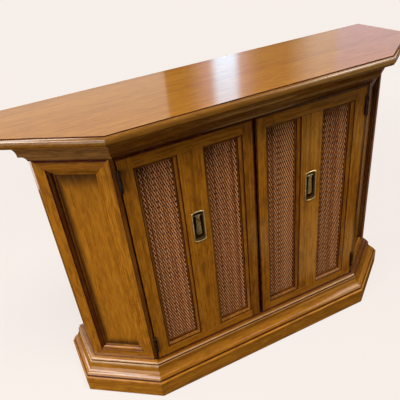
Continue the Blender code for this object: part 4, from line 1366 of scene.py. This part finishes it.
@dataclass
class DropPull:
    """A recessed pull: a cup with a raised rim, a cross pin, and a drop that hangs on it.

    The drop's section has places across it and through it, as shares of its half sizes. Each step of the
    boss has a radius as a share, a height, an edge value and a glaze.
    """

    side: Side
    rim: Pair = (0.0165, 0.043)
    mouth: Pair = (0.0132, 0.0396)
    arch: float = 0.003
    corner: float = 0.0016
    wall: float = 0.0009
    flange: float = 0.0018
    bottom: float = 0.0013
    pin_radius: float = 0.00125
    pin_drop: float = 0.003
    neck: float = 0.0046
    foot: float = 0.00675
    half_thickness: float = 0.0015
    barrel: Pair = (0.003, 0.006)
    boss_radius: float = 0.0042
    boss_offset: Point = (0.0, -0.0012, -0.0012)
    section: tuple[Pair, ...] = ((-1.0, 0.45), (-1.0, -0.35), (-0.82, -0.85), (-0.35, -1.0), (0.35, -1.0),
                                 (0.82, -0.85), (1.0, -0.35), (1.0, 0.45), (0.8, 0.9), (0.0, 1.0),
                                 (-0.8, 0.9))
    boss: tuple[tuple[float, ...], ...] = (
        (1.0, -0.001, 0.0, 0.3), (1.0, 0.0011, 0.6, 0.0), (0.92, 0.0018, 1.0, 0.0),
        (0.76, 0.0021, 1.0, 0.0), (0.60, 0.0018, 0.8, 0.2), (0.50, 0.0010, 0.0, 1.0),
        (0.30, 0.0008, 0.0, 1.0), (0.05, 0.0012, 0.2, 0.6))
    pin: Vector = field(init=False)

    def build(self) -> None:
        """Make the cup, which rides on the door, and the drop, which rides on its own body."""
        door = f"door_{self.side.word}"
        low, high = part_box(f"{door}_pull_drop")
        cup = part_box(f"{door}_pull_cup")
        self.pin = Vector(((cup[0].x + cup[1].x) / 2, (low.y + high.y) / 2, high.z - self.pin_drop))
        self.build_cup(f"{door}_pull_cup", door)
        self.build_drop(f"{door}_pull_drop", self.pin.z - low.z)

    def build_cup(self, node: str, body: str) -> None:
        """Make the cup from its floor out over the rim and back round the shell.

        Args:
            node: The node that it stands for.
            body: The body that carries it.
        """
        draft = MeshDraft()
        low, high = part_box(node)
        front, back, middle = low.y, high.y, (low.z + high.z) / 2
        floor, seat = back - self.bottom, front + self.flange
        mouth, rim = self.mouth, self.rim
        shell = (mouth[0] + self.wall, mouth[1] - 0.0005)
        tail = (mouth[0], mouth[1] - 0.0015)
        # Each step has an outline, how far outside it the ring lies, the ring's depth, its edge and its glaze
        steps = (
            (mouth, -0.0024, floor, 0.0, 1.0), (mouth, -0.0007, floor - 0.0007, 0.0, 1.0),
            (mouth, -0.0002, floor - 0.0024, 0.0, 0.95), (mouth, 0.0, front + 0.0017, 0.0, 0.9),
            (mouth, 0.0003, front + 0.0009, 0.2, 0.6), (mouth, 0.0009, front + 0.0003, 0.6, 0.2),
            (mouth, 0.0016, front, 1.0, 0.0), (rim, -0.0010, front + 0.0002, 1.0, 0.0),
            (rim, -0.0004, front + 0.0007, 1.0, 0.0), (rim, -0.0001, front + 0.0012, 0.8, 0.0),
            (rim, 0.0, seat - 0.0001, 0.2, 0.5), (rim, 0.0, seat, 0.0, 1.0), (shell, 0.0, seat, 0.0, 1.0),
            (shell, 0.0, back - 0.001, 0.0, 0.5), (tail, 0.0, back, 0.0, 0.5))
        rings = []
        for (half_width, half_length), out, y, edge, glaze in steps:
            outline = arched_outline(half_width + out, half_length + out, self.arch, self.corner)
            rings.append(draft.ring([(self.pin.x + x, y, middle + z) for x, z in outline], edge, glaze))
        draft.tube(rings)
        draft.lathe(turned(self.pin, (QUARTER, "Y")), 12,
                    ((self.pin_radius, -mouth[0]), (self.pin_radius, mouth[0])), (0.2, 0.2), (0.5, 0.5))
        draft.build(f"{node}_brass", AGED_BRASS, body, [node])

    def build_drop(self, node: str, length: float) -> None:
        """Make the drop: a crowned tongue with a round foot, its barrel, and the ring boss on its face.

        Args:
            node: The node that it stands for.
            length: From the pin to the drop's lower end.
        """
        draft = MeshDraft()
        # Each station has a height above the foot, and its width and thickness as shares
        stations = [(0.0, 0.20, 0.35), (0.0006, 0.58, 0.7), (0.0018, 0.82, 0.95), (0.0036, 0.95, 1.0)]
        stations += [(0.0062 + (length - 0.0092) * i / 10, 1.0, 1.0) for i in range(11)]
        stations += [(length - 0.0012, 0.9, 0.95)]
        taper = 0.004
        rings = []
        for height, narrow, thin in stations:
            rise = max(0.0, (height - taper) / (length - taper))
            width = (self.foot + (self.neck - self.foot) * rise) * narrow
            half, z = self.half_thickness * thin, self.pin.z - length + height
            rings.append(draft.ring([(self.pin.x + x * width, self.pin.y + y * half, z)
                                     for x, y in self.section], 0.55))
        draft.tube(rings)
        radius, reach = self.barrel
        profile = ((radius - 0.0007, -reach), (radius - 0.0001, -reach + 0.0005), (radius, -reach / 2),
                   (radius, reach / 2), (radius - 0.0001, reach - 0.0005), (radius - 0.0007, reach))
        draft.lathe(turned(self.pin, (QUARTER, "Y")), 18, profile, (0.3, 1.0, 0.4, 0.4, 1.0, 0.3))
        shares, heights, edges, glaze = zip(*self.boss)
        profile = [(share * self.boss_radius, height) for share, height in zip(shares, heights)]
        forward = turned(self.pin + Vector(self.boss_offset), (QUARTER, "X"))
        draft.lathe(forward, 24, profile, edges, glaze)
        draft.build(f"{node}_brass", DULL_BRASS, f"pull_{self.side.word}", [node], 45.0)


@dataclass
class ButtHinge:
    """A butt hinge: three knuckles on a pin with round ends, and two leaves with sunk screws.

    Each screw has a place up the leaf and one across it, as shares.
    """

    side: Side
    level: str
    barrel: float = 0.0036
    play: float = 0.0002
    leaf: float = 0.001
    knuckle_gap: float = 0.00025
    knuckle_ease: float = 0.0004
    wrap_start: float = 0.0015
    leaf_start: float = 0.0042
    overlap: float = 0.001
    screw: Pair = (0.0022, 0.00008)
    screw_turn: float = 7.0
    screws: tuple[Pair, ...] = ((0.17, 0.66), (0.5, 0.42), (0.83, 0.66))
    low: Vector = field(init=False)
    high: Vector = field(init=False)
    axis: Vector = field(init=False)

    def build(self) -> None:
        """Make the jamb's leaf with the pin, and the door's leaf."""
        name = f"hinge_{self.side.word}_{self.level}"
        self.low, self.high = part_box(f"{name}_jamb_leaf")
        reach = max(abs(self.low.x), abs(self.high.x)) - self.barrel
        self.axis = Vector((self.side.value * reach, self.low.y + self.barrel, 0.0))
        third = (self.high.z - self.low.z) / 3
        ends = [self.low.z + third * i for i in range(4)]
        self.build_leaf(f"{name}_jamb_leaf", "carcase", 1, ((ends[0], ends[1]), (ends[2], ends[3])))
        self.build_leaf(f"{name}_door_leaf", f"door_{self.side.word}", -1, ((ends[1], ends[2]),))

    def build_leaf(self, node: str, body: str, way: int, knuckles: Sequence[Pair]) -> None:
        """Make one leaf with its knuckles, and with the pin's two round ends on the jamb's leaf.

        Args:
            node: The node that it stands for.
            body: The body that carries it.
            way: 1 away from the door, -1 towards it.
            knuckles: The heights between which its knuckles lie.
        """
        draft = MeshDraft()
        r, ease, start = self.barrel, self.knuckle_ease, self.axis.y + self.leaf_start
        out = self.side.value * way
        face = self.axis.x + out * self.play
        near, far = sorted((face, self.axis.x + out * (self.play + self.leaf)))
        for bottom, top in knuckles:
            low, high = bottom + self.knuckle_gap, top - self.knuckle_gap
            profile = ((0.6 * r, low), (0.9 * r, low), (r, low + ease), (r, high - ease), (0.9 * r, high),
                       (0.6 * r, high))
            draft.lathe(turned(self.axis), 24, profile, (0.0, 1.0, 1.0, 1.0, 1.0, 0.0),
                        (0.8, 0.4, 0.0, 0.0, 0.4, 0.8))
            draft.slab((near, self.axis.y + self.wrap_start, low), (far, start + self.overlap, high),
                       0.0001, 0.0003)
        draft.slab((near, start, self.low.z), (far, self.high.y, self.high.z), 0.00015, 0.0008)
        if way > 0:
            profile = ((0.6 * r, -0.001), (0.72 * r, -0.0002), (0.72 * r, 0.0004), (0.55 * r, 0.0011),
                       (0.25 * r, 0.0015))
            for end, turn in ((self.low.z, math.pi), (self.high.z, 0.0)):
                draft.lathe(turned((self.axis.x, self.axis.y, end), (turn, "X")), 20, profile,
                            (0.0, 0.2, 0.8, 1.0, 0.6))
        for share, depth in self.screws:
            y = start + (self.high.y - start) * depth
            z = self.low.z + (self.high.z - self.low.z) * share
            place = turned((face, y, z), (-out * QUARTER, "Y"), (self.screw_turn * share, "Z"))
            draft.screw(place, *self.screw)
        draft.build(f"{node}_bronze", DARK_BRONZE, body, [node])


@dataclass
class Catch:
    """The double magnetic catch with its pole plates and screws, and the two steel strikes."""

    ease: float = 0.0011
    pole: float = 0.0012
    pole_height: float = 0.010
    pole_rise: float = 0.00012
    pole_depth: float = 0.004
    pole_inset: float = 0.003
    screw_place: float = 0.0198
    screw: Pair = (0.0024, 0.0008)
    strike_ease: float = 0.0003
    strike_screw: Pair = (0.0024, 0.0001)

    def build(self) -> None:
        """Make the catch's body, its steel parts and the strikes."""
        Board("door_catch", Grain.LENGTH, CATCH_RESIN, ease=self.ease).build()
        low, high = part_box("door_catch")
        middle, half = (low.z + high.z) / 2, self.pole_height / 2
        draft = MeshDraft()
        for side in Side:
            strike_low, strike_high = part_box(f"door_{side.word}_strike_plate")
            for x in (strike_low.x + self.pole_inset, strike_high.x - self.pole_inset):
                draft.slab((x - self.pole / 2, low.y - self.pole_rise, middle - half),
                           (x + self.pole / 2, low.y + self.pole_depth, middle + half), 0.0001, 0.0002)
            place = (side.value * self.screw_place, (low.y + high.y) / 2, low.z)
            draft.screw(turned(place, (math.pi, "X")), *self.screw)
        draft.build("door_catch_steel", ZINC, "carcase")
        for side in Side:
            self.build_strike(f"door_{side.word}")

    def build_strike(self, door: str) -> None:
        """Make one strike with its screw.

        Args:
            door: The door that carries it.
        """
        node = f"{door}_strike_plate"
        Board(node, Grain.LENGTH, ZINC, ease=self.strike_ease).build()
        low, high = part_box(node)
        draft = MeshDraft()
        place = ((low.x + high.x) / 2, high.y, (low.z + high.z) / 2)
        draft.screw(turned(place, (-QUARTER, "X")), *self.strike_screw)
        draft.build(f"{node}_screw", ZINC, door)


@dataclass
class BackScrews:
    """The round-headed screws that hold the back panel all round."""

    inset: float = 0.011
    foot_inset: float = 0.023
    across: int = 7
    upright: int = 4
    screw: Point = (0.0034, 0.0013, 0.0009)
    widest_turn: float = 3.0

    def build(self) -> None:
        """Set the screws in the back panel's margin."""
        low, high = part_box("back_panel")
        left, right = low.x + self.inset, high.x - self.inset
        bottom, top = low.z + self.foot_inset, high.z - self.inset
        columns = [left + (right - left) * i / (self.across - 1) for i in range(self.across)]
        rows = [bottom + (top - bottom) * (i + 1) / (self.upright + 1) for i in range(self.upright)]
        places = [(x, z) for x in columns for z in (bottom, top)]
        places += [(x, z) for z in rows for x in (left, right)]
        draft = MeshDraft()
        for x, z in places:
            turn = SHOP.chance.uniform(0.0, self.widest_turn)
            draft.screw(turned((x, high.y, z), (-QUARTER, "X"), (turn, "Z")), *self.screw)
        draft.build("back_panel_screws", ZINC, "carcase")


# Studio

def sheet(name: str, corners: Sequence[Point], material: bpy.types.Material) -> bpy.types.Object:
    """Link a flat sheet.

    Args:
        name: Its name.
        corners: Its four corners in order.
        material: What it is made of.

    Returns:
        The new object.
    """
    mesh = bpy.data.meshes.new(name)
    mesh.from_pydata(corners, [], [(0, 1, 2, 3)])
    mesh.materials.append(material)
    return linked(name, mesh)


@dataclass(frozen=True)
class Lamp:
    """A soft rectangular light that looks at a point."""

    name: str
    place: Point
    target: Point
    size: Pair
    watts: float
    colour: RGB
    mirrored: bool = False

    def build(self) -> None:
        """Hang the lamp."""
        light = bpy.data.lights.new(self.name, "AREA")
        light.shape = "RECTANGLE"
        light.size, light.size_y = self.size
        light.energy = self.watts
        light.color = self.colour
        lamp = linked(self.name, light)
        lamp.visible_glossy = self.mirrored
        lamp.location = self.place
        look = Vector(self.target) - Vector(self.place)
        lamp.rotation_euler = look.to_track_quat("-Z", "Y").to_euler()


@dataclass(frozen=True)
class Card:
    """A flat card that only polished surfaces see: a dark screen or a bright window.

    A soft card fades out over a share of its width towards its two upright edges.
    """

    name: str
    low: Point
    high: Point
    colour: RGB
    strength: float = 1.0
    soft: float = 0.0

    def build(self) -> None:
        """Stand the card up, or lay it down where its low and high corner share a height."""
        (x0, y0, z0), (x1, y1, z1) = self.low, self.high
        second, last = ((x1, y0, z0), (x0, y1, z1)) if z0 == z1 else ((x1, y1, z0), (x0, y0, z1))
        material = bpy.data.materials.new(self.name)
        draft = StageDraft(material)
        glow = draft.shader("Emission", self.colour, self.strength)
        if self.soft:
            place = draft.node("TexCoord").outputs["Generated"]
            across = draft.node("SeparateXYZ", [(0, place)]).outputs[0]
            away = draft.math("ABSOLUTE", draft.math("SUBTRACT", across, 0.5))
            fade = draft.span(away, 0.5 - 0.5 * self.soft, 0.5, 1.0, 0.0)
            glow = draft.shader("MixShader", fade, draft.shader("BsdfTransparent"), glow)
        draft.show(glow)
        card = sheet(self.name, (self.low, second, self.high, last), material)
        card.visible_camera = False
        card.visible_diffuse = False
        card.visible_shadow = False


DIM = (0.10, 0.07, 0.05)
SKY = (1.0, 0.96, 0.88)
WARM_SKY = (1.0, 0.95, 0.86)
LAMPLIT = (1.0, 0.93, 0.82)


@dataclass
class Studio:
    """The pale floor and background, the soft lamps, the cards and the camera."""

    pale: RGB = (0.930, 0.863, 0.815)
    fill: RGB = (1.0, 0.96, 0.91)
    paper: RGB = (0.72, 0.668, 0.63)
    fill_strength: float = 0.10
    shadow_share: float = 0.15
    shadow_near: float = 0.9
    shadow_far: float = 2.4
    floor_bounce: RGB = (0.14, 0.11, 0.09)
    floor_size: float = 30.0
    floor_drop: float = 0.0005
    camera_place: Point = (-0.501, -0.9278, 1.0722)
    camera_turn: Point = (56.884, 6.369, -25.557)
    camera_lens: float = 41.280
    camera_sensor: float = 36.0
    camera_shift: Pair = (0.02235, 0.04108)
    lamps: tuple[Lamp, ...] = (
        Lamp("ceiling_softbox", (0.15, -1.3, 3.6), (0.0, -0.1, 0.4), (1.6, 1.2), 132.0, (1.0, 0.98, 0.95)),
        Lamp("left_softbox", (-2.8, -0.9, 0.8), (-0.4, -0.05, 0.4), (1.0, 1.4), 46.0, (1.0, 0.99, 0.97)),
        Lamp("left_window", (-1.9, -0.3, 2.2), (-0.4, -0.1, 0.3), (0.9, 1.1), 20.0, (0.96, 0.98, 1.0), True),
        Lamp("return_window", (-2.4, 1.3, 0.9), (-0.5, 0.05, 0.3), (0.8, 1.2), 26.0, (1.0, 0.94, 0.88)),
        Lamp("right_window", (2.6, -0.2, 0.6), (0.45, 0.0, 0.4), (0.8, 1.2), 9.0, (1.0, 0.93, 0.88)),
    )
    cards: tuple[Card, ...] = (
        Card("dark_screen", (0.70, 2.3, 0.3), (1.30, 2.3, 3.2), (0.02, 0.012, 0.008)),
        Card("window_glow", (0.82, 2.24, 0.9), (1.52, 2.24, 2.6), (0.94, 0.72, 0.90), 0.95, 0.8),
        Card("window", (1.02, 2.2, 0.9), (1.31, 2.2, 2.6), (0.52, 0.78, 1.0), 4.2, 0.6),
        Card("dim_wall", (1.12, 2.32, 0.3), (2.15, 2.32, 3.2), (0.20, 0.13, 0.10), 1.0, 0.73),
        Card("dim_ceiling", (-0.45, -3.2, 4.0), (4.2, 1.6, 4.0), DIM),
        Card("dim_front", (-2.4, -3.2, 0.0), (4.2, -3.2, 4.0), DIM),
        Card("dim_right", (4.2, -3.2, 0.0), (4.2, 2.3, 4.0), DIM),
        Card("dim_cove", (1.2, 2.31, 2.45), (4.2, 2.31, 4.0), DIM),
        Card("right_glow", (2.35, 2.34, 0.5), (4.2, 2.34, 2.45), (0.80, 0.757, 1.0), 1.15),
        Card("ceiling_pane", (-2.35, 0.3, 2.75), (-0.45, 2.25, 2.75), SKY, 7.5),
        Card("left_pane", (-2.4, -2.2, 1.6), (-2.4, -0.3, 2.74), SKY, 9.0),
        Card("middle_pane", (-2.4, -2.2, 0.86), (-2.4, -0.3, 1.6), WARM_SKY),
        Card("low_pane", (-2.4, -2.6, 0.03), (-2.4, -1.0, 0.86), WARM_SKY, 2.6),
        Card("near_strip", (0.95, -2.3, 2.74), (1.8, -1.1, 2.74), LAMPLIT, 1.7),
        Card("middle_strip", (1.8, -2.3, 2.74), (2.6, -1.1, 2.74), (1.0, 0.86, 0.66), 5.2),
        Card("far_strip", (2.6, -2.3, 2.74), (4.2, -1.1, 2.74), (1.0, 0.93, 0.80), 11.5),
        Card("front_pane", (2.2, -3.19, 1.0), (4.2, -3.19, 2.7), (1.0, 0.90, 0.72), 2.1),
        Card("side_strip", (1.8, -1.1, 2.74), (4.2, 0.6, 2.74), LAMPLIT, 3.4),
        Card("near_glow", (0.19, -0.60, 0.004), (0.62, -0.24, 0.004), (1.0, 0.60, 0.20), 1.2, 0.2),
        Card("floor_glow", (0.68, -1.30, 0.004), (1.5, -0.86, 0.004), (1.0, 0.70, 0.22), 1.0, 0.3),
        Card("far_glow", (1.5, -3.0, 0.004), (3.6, -1.6, 0.004), (0.6, 0.40, 0.15), 1.5),
        Card("right_floor", (0.75, 0.02, 0.003), (2.8, 1.3, 0.003), (0.13, 0.09, 0.085)),
        Card("dark_rug", (-3.0, -3.2, 0.002), (4.2, 1.3, 0.002), (0.022, 0.012, 0.006)),
    )

    def build(self) -> None:
        """Set up everything that isn't part of the cabinet."""
        self.build_world()
        self.build_floor()
        for item in (*self.lamps, *self.cards):
            item.build()
        self.build_camera()
        bpy.context.scene.view_settings.view_transform = "Standard"

    def build_world(self) -> None:
        """A soft even fill, which shows as the pale background."""
        world = bpy.data.worlds.new("studio")
        bpy.context.scene.world = world
        draft = StageDraft(world)
        fill = draft.shader("Background", self.fill, self.fill_strength)
        pale = draft.shader("Background", self.pale, 1.0)
        draft.show(draft.shader("MixShader", draft.seen_directly(), fill, pale))

    def build_floor(self) -> None:
        """The pale floor, which keeps a share of the cabinet's shadow and throws little light back."""
        half = self.floor_size / 2
        material = bpy.data.materials.new("floor_paper")
        draft = StageDraft(material)
        place = draft.node("TexCoord").outputs["Object"]
        away = draft.node("VectorMath", [(0, place)], operation="LENGTH").outputs["Value"]
        lit_share = draft.span(away, self.shadow_near, self.shadow_far, self.shadow_share, 0.0)
        shown = draft.shader("MixShader", lit_share, draft.shader("Emission", self.pale),
                             draft.shader("BsdfDiffuse", self.paper))
        bounce = draft.shader("BsdfDiffuse", self.floor_bounce)
        draft.show(draft.shader("MixShader", draft.seen_directly(), bounce, shown))
        corners = [(x * half, y * half, 0.0) for x, y in ((-1, -1), (1, -1), (1, 1), (-1, 1))]
        floor = sheet("floor", corners, material)
        floor.location.z = CAD_BOX[0].z - self.floor_drop

    def build_camera(self) -> None:
        """The camera at the photograph's place."""
        lens = bpy.data.cameras.new("camera")
        lens.sensor_width = self.camera_sensor
        lens.lens = self.camera_lens
        lens.shift_x, lens.shift_y = self.camera_shift
        lens.dof.use_dof = False
        camera = linked("camera", lens)
        camera.location = self.camera_place
        camera.rotation_euler = Euler([math.radians(turn) for turn in self.camera_turn], "XYZ")
        bpy.context.scene.camera = camera


def main() -> None:
    """Build the studio, then the cabinet from the case to the doors."""
    logging.basicConfig(level=logging.INFO, format="%(name)s: %(message)s")
    Studio().build()
    Case().build()
    for side in Side:
        Door(side).build()
        DropPull(side).build()
        for level in ("top", "bottom"):
            ButtHinge(side, level).build()
    Catch().build()
    BackScrews().build()


if __name__ == "__main__":
    main()
